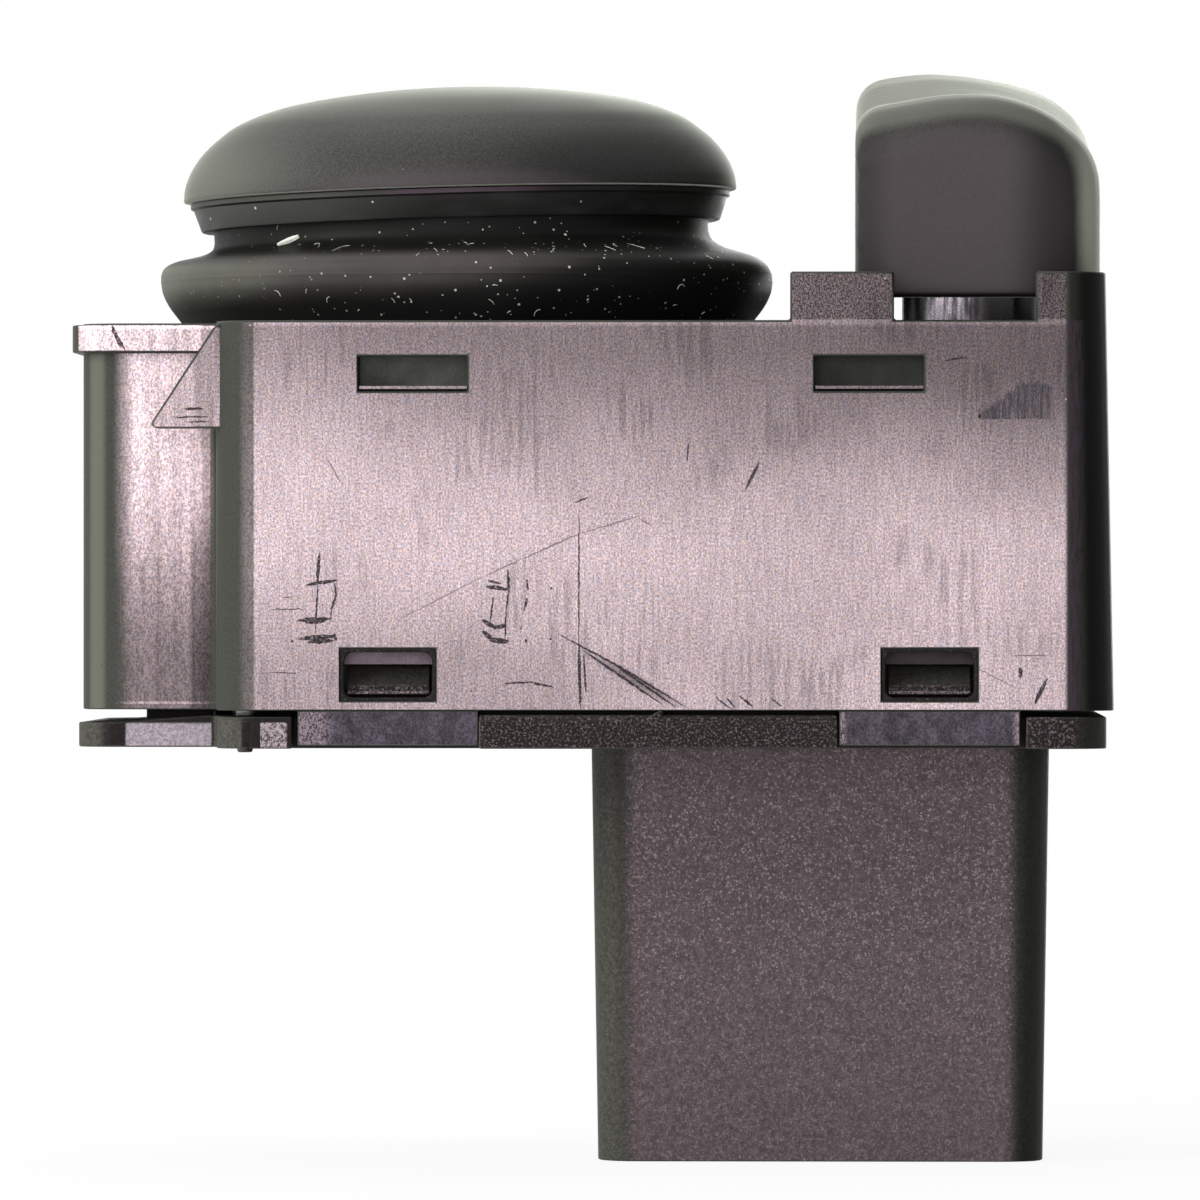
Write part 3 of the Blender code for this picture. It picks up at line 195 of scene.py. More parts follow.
# %% Define the finish kit
class Finish:
    """One Principled material and the texture nodes that feed it."""

    def __init__(self, name, colour, roughness, metallic=0.0, **sockets):
        self.material = bpy.data.materials.new(name)
        self.material.use_nodes = True
        self.tree = self.material.node_tree
        self.shader = self.tree.nodes["Principled BSDF"]
        self.shader.inputs["Base Color"].default_value = (*colour, 1)
        self.shader.inputs["Roughness"].default_value = roughness
        self.shader.inputs["Metallic"].default_value = metallic
        for socket, value in sockets.items():
            self.shader.inputs[socket.replace("_", " ")].default_value = value
        self.colour = (*colour, 1)
        self.rough = roughness
        self.metal = metallic
        self.place = self.node("ShaderNodeTexCoord").outputs["Object"]
        self.facing = self.node("ShaderNodeNewGeometry").outputs["Normal"]
        self.normal = None

    def node(self, kind, inputs=(), **settings):
        """Add a node, set its options and feed its inputs with links or values."""
        made = self.tree.nodes.new(kind)
        for name, value in settings.items():
            setattr(made, name, value)
        for socket, value in dict(inputs).items():
            if isinstance(value, bpy.types.NodeSocket):
                self.tree.links.new(value, made.inputs[socket])
            else:
                made.inputs[socket].default_value = value
        return made

    def maths(self, operation, first, second=0.0, third=0.0):
        """One step of arithmetic."""
        inputs = {0: first, 1: second, 2: third}
        return self.node("ShaderNodeMath", inputs, operation=operation).outputs[0]

    def product(self, *factors):
        """Several factors multiplied."""
        total = factors[0]
        for factor in factors[1:]:
            total = self.maths("MULTIPLY", total, factor)
        return total

    def step(self, value, start, end, low=0.0, high=1.0):
        """A smooth ramp of a value, clamped at its ends."""
        inputs = {"Value": value, "From Min": start, "From Max": end, "To Min": low, "To Max": high}
        return self.node("ShaderNodeMapRange", inputs, interpolation_type="SMOOTHSTEP").outputs[0]

    def scaled(self, stretch, shift):
        """The place on the piece, with its axes stretched."""
        inputs = {"Vector": self.place, "Scale": stretch, "Location": shift}
        return self.node("ShaderNodeMapping", inputs).outputs[0]

    def span(self, distance, start, end, low=0.0, high=1.0):
        """A smooth ramp between two distances in millimetres."""
        return self.step(distance, start * MM, end * MM, low, high)

    def vary(self, value, low, high):
        """The middle range of a random value, spread between two levels."""
        return self.step(value, 0.3, 0.7, low, high)

    def gain(self, factor, amount):
        """One, raised by an amount where the factor is high."""
        return self.maths("MULTIPLY_ADD", factor, amount, 1.0)

    def noise(self, size, stretch=(1, 1, 1), detail=3.0, rough=0.55, shift=(0, 0, 0)):
        """Soft random values whose patches are about size millimetres wide."""
        inputs = {"Vector": self.scaled(stretch, shift), "Scale": 1 / (size * MM), "Detail": detail,
                  "Roughness": rough}
        return self.node("ShaderNodeTexNoise", inputs).outputs["Fac"]

    def cells(self, size, feature="F1", shift=(0, 0, 0)):
        """A Voronoi texture with cells about size millimetres wide."""
        inputs = {"Vector": self.scaled((1, 1, 1), shift), "Scale": 1 / (size * MM)}
        return self.node("ShaderNodeTexVoronoi", inputs, feature=feature)

    def axis(self, name):
        """One coordinate of the place on the piece."""
        return self.node("ShaderNodeSeparateXYZ", {0: self.place}).outputs[name]

    def towards(self, direction, start=0.0, end=1.0):
        """A ramp of how much the surface faces a direction."""
        along = self.node("ShaderNodeVectorMath", {0: self.facing, 1: direction}, operation="DOT_PRODUCT")
        return self.step(along.outputs["Value"], start, end)

    def outwards(self, name, middle=0.0):
        """How squarely the surface faces away from the middle plane of an axis."""
        normal = self.node("ShaderNodeSeparateXYZ", {0: self.facing}).outputs[name]
        side = self.maths("SIGN", self.maths("SUBTRACT", self.axis(name), middle))
        return self.maths("MULTIPLY", normal, side)

    def mixed(self, factor, first, second, **settings):
        """Two colours mixed by a factor."""
        inputs = {0: factor}
        for socket, colour in ((6, first), (7, second)):
            plain = not isinstance(colour, bpy.types.NodeSocket) and len(colour) == 3
            inputs[socket] = (*colour, 1) if plain else colour
        return self.node("ShaderNodeMix", inputs, data_type="RGBA", **settings).outputs[2]

    def times(self, colour, factor):
        """A colour scaled by a factor."""
        grey = self.node("ShaderNodeCombineColor", {0: factor, 1: factor, 2: factor}).outputs[0]
        return self.mixed(1.0, colour, grey, blend_type="MULTIPLY")

    def tint(self, factor, colour, amount=1.0):
        """Lay a colour over the finish where the factor is high."""
        if amount != 1.0:
            factor = self.maths("MULTIPLY", factor, amount)
        self.colour = self.mixed(factor, self.colour, colour)

    def shade(self, factor):
        """Multiply the finish's colour by a factor."""
        self.colour = self.times(self.colour, factor)

    def roughen(self, factor, roughness):
        """Move the roughness to another value where the factor is high."""
        mixed = self.node("ShaderNodeMix", {0: factor, 2: self.rough, 3: roughness})
        self.rough = mixed.outputs[0]

    def bump(self, height, depth):
        """Raise the surface by a height from 0 to 1, depth millimetres high."""
        inputs = {"Height": height, "Distance": depth * MM}
        if self.normal is not None:
            inputs["Normal"] = self.normal
        self.normal = self.node("ShaderNodeBump", inputs).outputs["Normal"]

    def specks(self, size, share, spot=0.2, shift=(0, 0, 0)):
        """Small round specks: a share of the cells hold one each."""
        cells = self.cells(size, shift=shift)
        picked = self.node("ShaderNodeSeparateColor", {0: cells.outputs["Color"]})
        chosen = self.maths("LESS_THAN", picked.outputs[0], share)
        width = self.maths("MULTIPLY", picked.outputs[1], spot)
        return self.maths("MULTIPLY", chosen, self.maths("LESS_THAN", cells.outputs["Distance"], width))

    def done(self):
        """Connect the chain to the shader."""
        for socket, value in (("Base Color", self.colour), ("Roughness", self.rough),
                              ("Metallic", self.metal), ("Normal", self.normal)):
            if isinstance(value, bpy.types.NodeSocket):
                self.tree.links.new(value, self.shader.inputs[socket])
        return self.material


print("finish kit ready")

# %% [markdown]
# ## Helpers for pieces
# More short helpers: they turn a bmesh into a piece that moves with a body of the model, copy a node of the
# model, ease its edges and add blocks. No moulded edge is truly sharp, and the thin line of light along
# each edge is what makes plastic look real. A Bevel on a merged copy gives it, and leaves the form as it
# was.

# %% Define the piece helpers
def placed(name, shape, body, finish, replaces=(), smooth=35):
    """Make a finished piece from a bmesh; it moves with a body unless that is None."""
    mesh = bpy.data.meshes.new(name)
    shape.to_mesh(mesh)
    shape.free()
    mesh.materials.clear()
    mesh.materials.append(finish)
    mesh.shade_smooth()
    mesh.set_sharp_from_angle(angle=math.radians(smooth))
    piece = bpy.data.objects.new(name, mesh)
    scene.collection.objects.link(piece)
    if body:
        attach(piece, body)
    if replaces:
        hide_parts(*replaces)
    print(name, "faces:", len(mesh.polygons))
    return piece


def merged(node):
    """A bmesh of a node with its points merged and its flat faces joined."""
    shape = bmesh.new()
    shape.from_mesh(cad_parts[node].data)
    bmesh.ops.remove_doubles(shape, verts=shape.verts, dist=1e-7)
    bmesh.ops.dissolve_limit(shape, angle_limit=math.radians(0.6), verts=shape.verts, edges=shape.edges)
    return shape


def ease_edges(shape, radius, segments=2, angle=38, only=lambda edge: True):
    """Bevel the sharp edges of a bmesh by a radius in millimetres."""
    sharp = [edge for edge in shape.edges if len(edge.link_faces) == 2
             and edge.calc_face_angle() > math.radians(angle) and only(edge)]
    bmesh.ops.bevel(shape, geom=sharp, offset=radius * MM, offset_type="OFFSET", affect="EDGES",
                    segments=segments, profile=0.5, clamp_overlap=False, material=-1)


def weighted(piece):
    """Let the large faces keep flat shading beside their eased edges."""
    change = piece.modifiers.new("flat_faces", "WEIGHTED_NORMAL")
    change.keep_sharp = True
    change.weight = 90


def block(shape, low, high):
    """Add a box between two corners, given in millimetres."""
    low, high = Vector(low) * MM, Vector(high) * MM
    size = Matrix.Diagonal((*(high - low), 1))
    bmesh.ops.create_cube(shape, size=1, matrix=Matrix.Translation((low + high) / 2) @ size)


def twin_blocks(shape, along, outwards, upwards):
    """Add a box at the front side and its twin at the back; the ranges are in millimetres."""
    for side in (-1, 1):
        near, far = sorted(side * reach for reach in outwards)
        block(shape, (along[0], near, upwards[0]), (along[1], far, upwards[1]))


def baked(source):
    """A bmesh of an object with all its changes applied; the object goes."""
    graph = bpy.context.evaluated_depsgraph_get()
    shape = bmesh.new()
    shape.from_mesh(bpy.data.meshes.new_from_object(source.evaluated_get(graph)))
    bpy.data.objects.remove(source)
    return shape


def eased(value, start, end):
    """Nought before the start, one past the end and a smooth rise between."""
    share = min(max((value - start) / (end - start), 0), 1)
    return share * share * (3 - 2 * share)


print("piece helpers ready")

# %% [markdown]
# ## Scuffs on the front wall
# This switch has been handled: fine scratches cross its front wall, a tool has slipped near the foot, and
# two ladder-shaped scuffs sit above the left latch window. Each mark is a line between two points of the
# wall. On the shader side a mark is a spherical gradient, squeezed into a long thin ellipse by a Mapping
# node, so its ends taper as a real scratch does. Cutting them into the mesh would cost far more and show no
# better.

# %% List the marks
LADDER_LEFT = [(-6.50, -11.3, -6.60, -12.9, 0.09), (-6.57, -12.7, -6.70, -15.3, 0.05),
               (-7.15, -12.88, -5.60, -12.64, 0.10), (-5.75, -12.8, -5.68, -13.5, 0.06),
               (-5.68, -13.4, -5.95, -14.1, 0.07), (-5.9, -14.0, -5.95, -14.6, 0.04),
               (-7.6, -14.60, -5.9, -14.52, 0.13), (-7.2, -14.72, -6.2, -14.66, 0.09),
               (-7.55, -15.50, -5.70, -15.36, 0.13), (-7.1, -15.66, -5.80, -15.58, 0.13),
               (-5.80, -15.2, -5.68, -15.6, 0.09), (-7.9, -15.62, -7.75, -15.62, 0.07),
               (-8.9, -17.14, -7.6, -17.18, 0.03), (-8.9, -14.07, -7.2, -14.05, 0.03),
               (-10.6, -15.5, -10.3, -15.6, 0.07), (-8.3, -13.48, -7.8, -13.46, 0.03)]
LADDER_RIGHT = [(1.72, -12.68, 2.35, -12.82, 0.08), (1.60, -12.96, 2.80, -13.10, 0.12),
                (2.67, -12.1, 2.73, -13.3, 0.07), (2.72, -13.2, 2.58, -14.2, 0.05),
                (2.58, -14.1, 2.55, -15.5, 0.05), (1.98, -13.4, 1.82, -14.7, 0.05),
                (1.42, -14.58, 2.10, -14.98, 0.13), (1.9, -14.96, 2.62, -14.85, 0.13),
                (1.45, -15.10, 1.95, -15.58, 0.13), (1.75, -15.56, 2.75, -15.62, 0.15),
                (3.60, -12.6, 3.66, -13.15, 0.07), (3.62, -13.5, 3.45, -14.15, 0.07),
                (3.27, -14.95, 3.34, -15.0, 0.08), (3.50, -15.6, 3.64, -15.6, 0.08),
                (4.68, -15.5, 4.82, -15.5, 0.08), (4.74, -13.0, 4.80, -13.1, 0.06)]
LONG_SCRATCHES = [(6.14, -9.2, 6.12, -15.9, 0.045), (6.13, -15.6, 6.2, -18.9, 0.09),
                  (6.35, -16.2, 6.48, -18.2, 0.06), (5.9, -8.9, 6.6, -8.6, 0.05)]
FAINT_MARKS = [(-2.9, -14.7, 1.7, -12.35, 0.03), (1.5, -12.45, 3.4, -11.6, 0.04),
               (3.2, -11.7, 6.3, -10.3, 0.045), (6.1, -10.4, 9.3, -9.45, 0.04),
               (9.0, -9.6, 9.8, -10.1, 0.03), (-6.2, -6.6, -5.4, -8.0, 0.04),
               (25.0, -16.7, 27.4, -17.9, 0.03), (27.2, -16.3, 29.0, -16.3, 0.04)]
SLIPS = [(5.1, -15.25, 9.2, -17.45, 0.055), (6.9, -16.15, 11.4, -18.85, 0.06),
         (6.25, -16.0, 10.2, -18.7, 0.07), (7.9, -16.8, 10.9, -18.85, 0.06),
         (2.45, -17.68, 3.9, -17.60, 0.06), (3.7, -17.60, 4.9, -17.86, 0.07),
         (11.45, -6.0, 11.4, -6.9, 0.05), (14.9, -6.9, 14.2, -8.3, 0.09),
         (27.57, -16.9, 27.6, -17.4, 0.12), (28.9, -17.4, 28.25, -18.7, 0.11),
         (23.9, -2.0, 25.0, -1.8, 0.05)]
NICKS = [(12.8, -18.35, 13.5, -18.9, 0.05), (13.3, -18.35, 13.75, -18.85, 0.05),
         (13.9, -18.25, 14.6, -18.8, 0.06), (15.5, -18.4, 16.0, -18.8, 0.05),
         (25.55, -4.6, 25.65, -4.75, 0.10)]
SMEARS = [(6.0, -15.9, 11.6, -19.1, 0.42), (8.4, -17.0, 11.0, -18.9, 0.30)]
LIP_CREASES = [(-17.05, -0.05, -16.55, -1.25, 0.12), (-16.9, -0.4, -16.35, -1.35, 0.09)]
WEDGE_RUBS = [(-13.2, -4.30, -12.2, -4.27, 0.09), (-13.8, -4.70, -11.9, -4.67, 0.05),
              (-13.1, -4.93, -12.0, -4.88, 0.05)]
INK_MARKS = LADDER_LEFT + LADDER_RIGHT + LONG_SCRATCHES + SLIPS + NICKS
RUB_MARKS = LIP_CREASES + WEDGE_RUBS
print("marks:", len(INK_MARKS + RUB_MARKS + FAINT_MARKS + SMEARS))

# %% [markdown]
# ## The case's finish
# The case is black plastic, polished in its tool by strokes from top to bottom. The pinkish grey sheen that
# its flat walls show is a reflection painted into their colour, broken by fine vertical lines; the rounded
# corners get none and stay dark, and faces turned to the right and the right end get painted shade. The
# painted sheen is strongest in a band below the middle and fades towards the deck. Long thin noise,
# stretched along Z, makes the lines, and a finer noise the grain. The walls are told from the corners by
# how squarely the surface faces outwards.

# %% Build the case finish
DARK_PLASTIC = (0.052, 0.055, 0.046)
# Painted sheen: the pinkish grey reflection of the flat walls, written in as colour.
PAINTED_SHEEN_WARM = (0.605, 0.455, 0.462)
PAINTED_SHEEN_COOL = (0.530, 0.438, 0.505)
SLATE = (0.066, 0.054, 0.072)
SCUFF_INK = (0.022, 0.017, 0.022)
FAINT_INK = (0.13, 0.10, 0.11)
EDGE_PURPLE = (0.042, 0.028, 0.040)
LINT = (0.62, 0.60, 0.55)
CASE_FOOT = -19.0 * MM
DECK_LEVEL = 0.0
FRONT_PLANE = -16.8 * MM
BAY_JOINT = -11.68 * MM
LATCH_TAB_X = 23.18
SHARP_STEP = 0.06 * MM
RAGGED_SIZE, RAGGED_REACH = 0.25 * MM, 0.12 * MM
MARK_TAPER = 0.55


def wall_light(finish):
    """How bright the painted sheen is at each height and place along the long walls."""
    along, height = finish.axis("X"), finish.axis("Z")
    crest = finish.maths("MULTIPLY_ADD", along, -0.07, -10.6 * MM)
    above = finish.maths("SUBTRACT", height, crest)
    top = finish.span(along, -9, 29, 0.40, 0.235)
    bottom = finish.span(along, -9, 29, 0.66, 1.02)
    rise = finish.span(above, 0, 11)
    fall = finish.span(above, -7.5, 0)
    upper = finish.gain(rise, finish.maths("SUBTRACT", top, 1.0))
    lower = finish.node("ShaderNodeMix", {0: fall, 2: bottom, 3: 1.0}).outputs[0]
    left = finish.span(along, -10, 4, 1.16, 1.0)
    return finish.product(upper, lower, left)


def bay_light(finish):
    """How bright the painted sheen is on the bay: strong near the lip, weak below and beside the block."""
    along, across, height = (finish.axis(name) for name in "XYZ")
    light = finish.span(height, -17, -5, 0.32, 1.55)
    # Painted shade on the wedge's faces, near the block's corner and low down at the bay's right.
    wedge = finish.span(finish.maths("ABSOLUTE", across), 12.0, 12.3, 1.0, 0.62)
    corner = finish.span(along, -12.9, -12.4, 1.0, 0.72)
    low = finish.product(finish.span(along, -13.3, -13.0), finish.span(height, -8, -12))
    band = finish.gain(low, -0.5)
    brushed = finish.step(finish.noise(0.55, stretch=(1, 1, 0.02), detail=2), 0.35, 0.65, 0.84, 1.12)
    return finish.product(light, wedge, corner, band, brushed)


def flat_walls(finish):
    """Where the painted sheen goes: one on flat walls and lip, part on the ends, nought on rounded corners
    and the right end.
    """
    along, height = finish.axis("X"), finish.axis("Z")
    square = finish.outwards("Y")
    soft = finish.product(finish.step(square, 0.89, 0.995, 0.0, 0.24), finish.span(along, 30, 0))
    walls = finish.maths("MAXIMUM", finish.step(square, 0.993, 0.9999), soft)
    lip = finish.product(finish.span(height, -1.36, -1.28), finish.span(height, -0.07, -0.13),
                         finish.span(along, -18.76, -18.70))
    soft_end = finish.product(finish.span(along, -17.1, -15.7), finish.step(square, 0.93, 0.999))
    sheen_left_end = finish.maths("MAXIMUM", finish.span(along, -16.2, -15.9), lip)
    walls = finish.product(walls, sheen_left_end, finish.span(along, 29.92, 29.68))
    below_lip = finish.span(height, -1.42, -1.50)
    walls = finish.maths("MAXIMUM", walls, finish.product(soft_end, below_lip, finish.span(along, -12, -13)))
    lip_end = finish.product(lip, finish.span(along, -12, -13), finish.step(square, 0.15, 0.9, 0.35, 1.0))
    walls = finish.maths("MAXIMUM", walls, lip_end)
    ends = finish.step(finish.outwards("X", 8 * MM), 0.9985, 0.99995, 0.0, 0.62)
    return finish.maths("MAXIMUM", walls, ends)


def comb_mark(finish, streaks):
    """A comb of short upright strokes near the wall's right end."""
    along, height = finish.axis("X"), finish.axis("Z")
    ragged = finish.noise(0.35, stretch=(1, 1, 0.02))
    reach = finish.span(along, 25.5, 28.0, -4.25 * MM, -3.0 * MM)
    top = finish.maths("MULTIPLY_ADD", ragged, 0.9 * MM, finish.maths("SUBTRACT", reach, 0.45 * MM))
    under = finish.maths("SUBTRACT", top, height)
    return finish.product(finish.span(along, 25.45, 25.6), finish.span(along, 29.2, 29.0),
                          finish.span(under, 0, 0.25), finish.span(height, -4.86, -4.80),
                          finish.step(streaks, 0.42, 0.58, 0.25, 1.0))


def scratched(finish, marks):
    """A mask of marks on a wall, each a thin ellipse with ragged edges."""
    ragged = finish.node("ShaderNodeTexNoise", {"Vector": finish.place, "Scale": 1 / RAGGED_SIZE})
    moved = finish.node("ShaderNodeVectorMath", {0: ragged.outputs["Color"], 1: (-0.5, -0.5, -0.5)})
    inputs = {0: moved.outputs[0], 1: (RAGGED_REACH,) * 3, 2: finish.place}
    spot = finish.node("ShaderNodeVectorMath", inputs, operation="MULTIPLY_ADD").outputs[0]
    total = None
    for x, z, far_x, far_z, width in marks:
        length = math.hypot(far_x - x, far_z - z)
        inputs = {"Vector": spot, "Location": ((x + far_x) / 2 * MM, 0, (z + far_z) / 2 * MM),
                  "Rotation": (0, -math.atan2(far_z - z, far_x - x), 0),
                  "Scale": (length * MARK_TAPER * MM, 1, width * MM)}
        squeezed = finish.node("ShaderNodeMapping", inputs, vector_type="TEXTURE").outputs[0]
        mark = finish.node("ShaderNodeTexGradient", {"Vector": squeezed},
                           gradient_type="SPHERICAL").outputs["Fac"]
        total = mark if total is None else finish.maths("MAXIMUM", total, mark)
    return total


def case_plastic():
    """The case's plastic: brushed walls with a painted pale sheen, dark corners with painted shade on the
    right, a dull deck.
    """
    finish = Finish("case_plastic", DARK_PLASTIC, 0.42, Specular_IOR_Level=0.06)
    along, across, height = (finish.axis(name) for name in "XYZ")
    # Painted shade: faces turned to the right and the case's right end are darkened.
    finish.shade(finish.step(finish.towards((1, 0, 0)), 0.1, 0.5, 1.0, 0.16))
    finish.shade(finish.span(along, 29.7, 30.1, 1.0, 0.35))
    grain = finish.noise(0.085, stretch=(1, 1, 0.7), detail=2, rough=0.9)
    finish.shade(finish.vary(grain, 0.80, 1.20))
    # Painted highlight: a pale band along the bay's rounded corner.
    painted_highlight_stripe = finish.product(finish.towards((-0.64, -0.77, 0), 0.95, 1.0), finish.span(along, -12, -13))
    finish.tint(painted_highlight_stripe, (0.155, 0.160, 0.130), 0.7)
    flat = flat_walls(finish)
    bay = finish.step(along, BAY_JOINT - 0.02 * MM, BAY_JOINT + 0.02 * MM, 1.0, 0.0)
    light = finish.node("ShaderNodeMix", {0: bay, 2: wall_light(finish), 3: bay_light(finish)}).outputs[0]
    # These set the painted sheen's brightness: dimmer on the posts above the deck, with painted highlights
    # along the walls' top edge and in a line at the bay's foot.
    post = finish.step(height, DECK_LEVEL, DECK_LEVEL + SHARP_STEP, 1.0, 0.72)
    rim = finish.product(finish.span(height, -0.36, -0.12), finish.span(height, 0.04, 0))
    clouds = finish.vary(finish.noise(7, detail=1), 0.90, 1.08)
    lines = finish.noise(0.11, stretch=(1, 1, 0.10), detail=3, rough=0.75)
    grit = finish.step(grain, 0.36, 0.64, 0.56, 1.46)
    patches = finish.step(finish.noise(3.2, detail=0, shift=(0.02, 0, 0.01)), 0.50, 0.66)
    strokes = finish.step(finish.noise(0.28, stretch=(1, 1, 0.07), detail=1), 0.48, 0.64)
    strokes = finish.product(patches, strokes)
    grit = finish.product(grit, finish.gain(strokes, -0.24))
    foot = finish.product(finish.maths("COMPARE", height, CASE_FOOT + 0.33 * MM, SHARP_STEP), bay)
    harsh = finish.step(grain, 0.42, 0.58, 0.55, 1.45)
    raised = finish.step(height, DECK_LEVEL, DECK_LEVEL + SHARP_STEP)
    grit = finish.node("ShaderNodeMix", {0: raised, 2: grit, 3: finish.product(grit, harsh)}).outputs[0]
    light = finish.product(light, post, clouds, finish.step(lines, 0.34, 0.66, 0.86, 1.13), grit,
                           finish.gain(foot, 1.3), finish.gain(rim, 0.75))
    tone = finish.step(finish.noise(0.12, detail=1, shift=(0.3, 0, 0.1)), 0.42, 0.58)
    finish.tint(finish.towards((0, 0, 1), 0.9, 0.99), SLATE, 0.8)
    # Dark purple streaks along the lines at the walls' right end, where the flat wall turns into its corner.
    streaked_end = finish.product(finish.span(along, 29.5, 29.7), finish.step(lines, 0.36, 0.60),
                              finish.span(along, 30.9, 30.2), finish.span(height, 0, -0.05))
    finish.tint(streaked_end, EDGE_PURPLE)
    # Painted sheen: the flat walls take the pinkish grey reflection as their colour, scaled by the factors
    # above.
    finish.tint(flat, finish.times(finish.mixed(tone, PAINTED_SHEEN_COOL, PAINTED_SHEEN_WARM), light))
    tab = finish.product(finish.step(height, CASE_FOOT - 0.05 * MM, CASE_FOOT + 0.05 * MM, 1.0, 0.0), flat)
    mottle = finish.vary(finish.noise(0.7, detail=1), 0.74, 1.30)
    finish.tint(tab, finish.times(SLATE, finish.product(grit, mottle)))
    right_end = finish.maths("ABSOLUTE", finish.maths("SUBTRACT", along, LATCH_TAB_X * MM))
    edges = finish.product(finish.span(right_end, 3.95, 4.25), finish.span(along, 18, 18.5))
    edges = finish.maths("MAXIMUM", edges, finish.span(along, -5.6, -6.6))
    dusty = finish.product(tab, finish.step(grain, 0.40, 0.58), edges)
    finish.tint(dusty, (0.36, 0.27, 0.31), 0.8)
    front = finish.product(finish.towards((0, -1, 0), 0.99, 0.999),
                           finish.step(across, FRONT_PLANE, FRONT_PLANE - 0.1 * MM))
    broken = finish.step(finish.noise(0.10, stretch=(0.5, 1, 1), detail=2, rough=0.8), 0.34, 0.50, 0.45, 1.0)
    smears = finish.step(scratched(finish, SMEARS), 0.0, 0.8)
    finish.tint(finish.product(smears, front), SCUFF_INK, 0.55)
    faint = finish.step(scratched(finish, FAINT_MARKS), 0.0, 0.25)
    finish.tint(finish.product(faint, front), FAINT_INK, 0.78)
    comb = finish.product(comb_mark(finish, lines), front)
    finish.tint(comb, (0.030, 0.030, 0.040), 0.80)
    marks = finish.step(scratched(finish, INK_MARKS), 0.0, 0.20)
    rubs = finish.step(scratched(finish, RUB_MARKS), 0.0, 0.3)
    rubbed = finish.product(rubs, bay, finish.towards((0, -1, 0), 0.9, 0.99))
    scuffed = finish.product(finish.maths("MAXIMUM", finish.product(marks, front), rubbed), broken)
    finish.tint(scuffed, SCUFF_INK, 0.97)
    finish.tint(finish.specks(1.1, 0.10, spot=0.06), LINT, 0.8)
    finish.tint(finish.specks(0.8, 0.12, spot=0.09, shift=(0.2, 0.1, 0)), SCUFF_INK, 0.6)
    finish.bump(lines, 0.004)
    finish.bump(grain, 0.003)
    finish.roughen(finish.step(lines, 0.3, 0.8), 0.52)
    return finish.done()


CASE_PLASTIC = case_plastic()
print("case finish nodes:", len(CASE_PLASTIC.node_tree.nodes))

# %% [markdown]
# ## The case
# The case keeps the form that the engineering model gives it, with the bay's end wall a touch further out,
# and every edge is eased. The small bevels fall outside the mask for flat walls, so they miss the painted
# sheen and outline each opening darkly, a painted shade like that on the edges of the real case.

# %% Dress the case
EDGE_EASE = 0.07
BAY_SPREAD = 0.18 * MM
BAY_WALL = -14.9 * MM
WALL_FACE = 16.3
WINDOW_BANDS = ((-3.6, -1.6), (-18.6, -15.9))


def spread_bay(shape, amount):
    """Move the bay's end wall a little outwards."""
    for vertex in shape.verts:
        if vertex.co.x < BAY_WALL:
            vertex.co.x -= amount


def ends_within(edge, along=(-99, 99), outer=(-1, 99), height=(-99, 99)):
    """Tell whether both ends of an edge lie within ranges in millimetres, on either side of the case."""
    places = [(end.co.x / MM, abs(end.co.y) / MM, end.co.z / MM) for end in edge.verts]
    ranges = (along, outer, height)
    return all(low < value < high for place in places for value, (low, high) in zip(place, ranges))


def window_rim(edge):
    """Tell whether an edge runs round a window on a wall's outer face."""
    level = abs((edge.verts[0].co - edge.verts[1].co).y) < 0.1 * MM
    return level and any(ends_within(edge, outer=(WALL_FACE, 99), height=band) for band in WINDOW_BANDS)


def wedge_rim(edge):
    """Tell whether an edge outlines the wedge under the bay's lip."""
    return ends_within(edge, along=(-14.8, -11.4), outer=(11.9, 99), height=(-5.4, -0.02))


def post_rim(edge):
    """Tell whether an edge outlines a post above the deck."""
    return ends_within(edge, outer=(15.0, 99), height=(-0.01, 99))


shape = merged("housing")
spread_bay(shape, BAY_SPREAD)
for radius, rim in ((0.11, window_rim), (0.12, wedge_rim), (0.11, post_rim)):
    ease_edges(shape, radius, only=rim)
ease_edges(shape, EDGE_EASE)
weighted(placed("case_shell", shape, "root", CASE_PLASTIC, ["housing"]))

# %% [markdown]
# ## Pockets behind the windows
# The upper windows are blind: a clip presses into them, and a thin floor behind keeps dust out. Behind the
# latch windows stand the inner ribs that the barbs spring against. Both are plain dark mouldings, seen only
# through the openings, so they are made as thin plates with rounded edges, set just inside the wall.

# %% Build the pockets
WALL_INSIDE = 15.5
CLIP_WINDOWS = (-1.95, 20.25)
LATCH_WINDOWS = (-3.17, LATCH_TAB_X)


def pocket_plastic():
    """Dark plastic that never met a polished tool, with dust in it and painted light falling off to the
    right.
    """
    finish = Finish("pocket_plastic", (0.064, 0.066, 0.059), 0.55, Specular_IOR_Level=0.1)
    grain = finish.noise(0.12, detail=2, rough=0.8)
    along, outer = finish.axis("X"), finish.maths("ABSOLUTE", finish.axis("Y"))
    # The low ribs behind the latch windows take a purplish tint. Painted light: that tint and the whole
    # finish are painted lighter towards the left and darker towards the right.
    low = finish.product(finish.span(finish.axis("Z"), -10, -9, 1.0, 0.0),
                         finish.span(outer, 15.35, 15.5))
    finish.tint(low, finish.times((0.18, 0.135, 0.16), finish.span(along, 0, 20, 0.85, 0.40)))
    finish.shade(finish.span(along, 0, 20, 1.45, 0.78))
    finish.shade(finish.vary(finish.noise(1.4), 0.8, 1.15))
    finish.shade(finish.step(grain, 0.25, 0.75, 0.8, 1.2))
    finish.tint(finish.specks(0.5, 0.14, spot=0.12), LINT, 0.7)
    finish.roughen(finish.step(grain, 0.3, 0.7), 0.66)
    finish.bump(grain, 0.008)
    return finish.done()


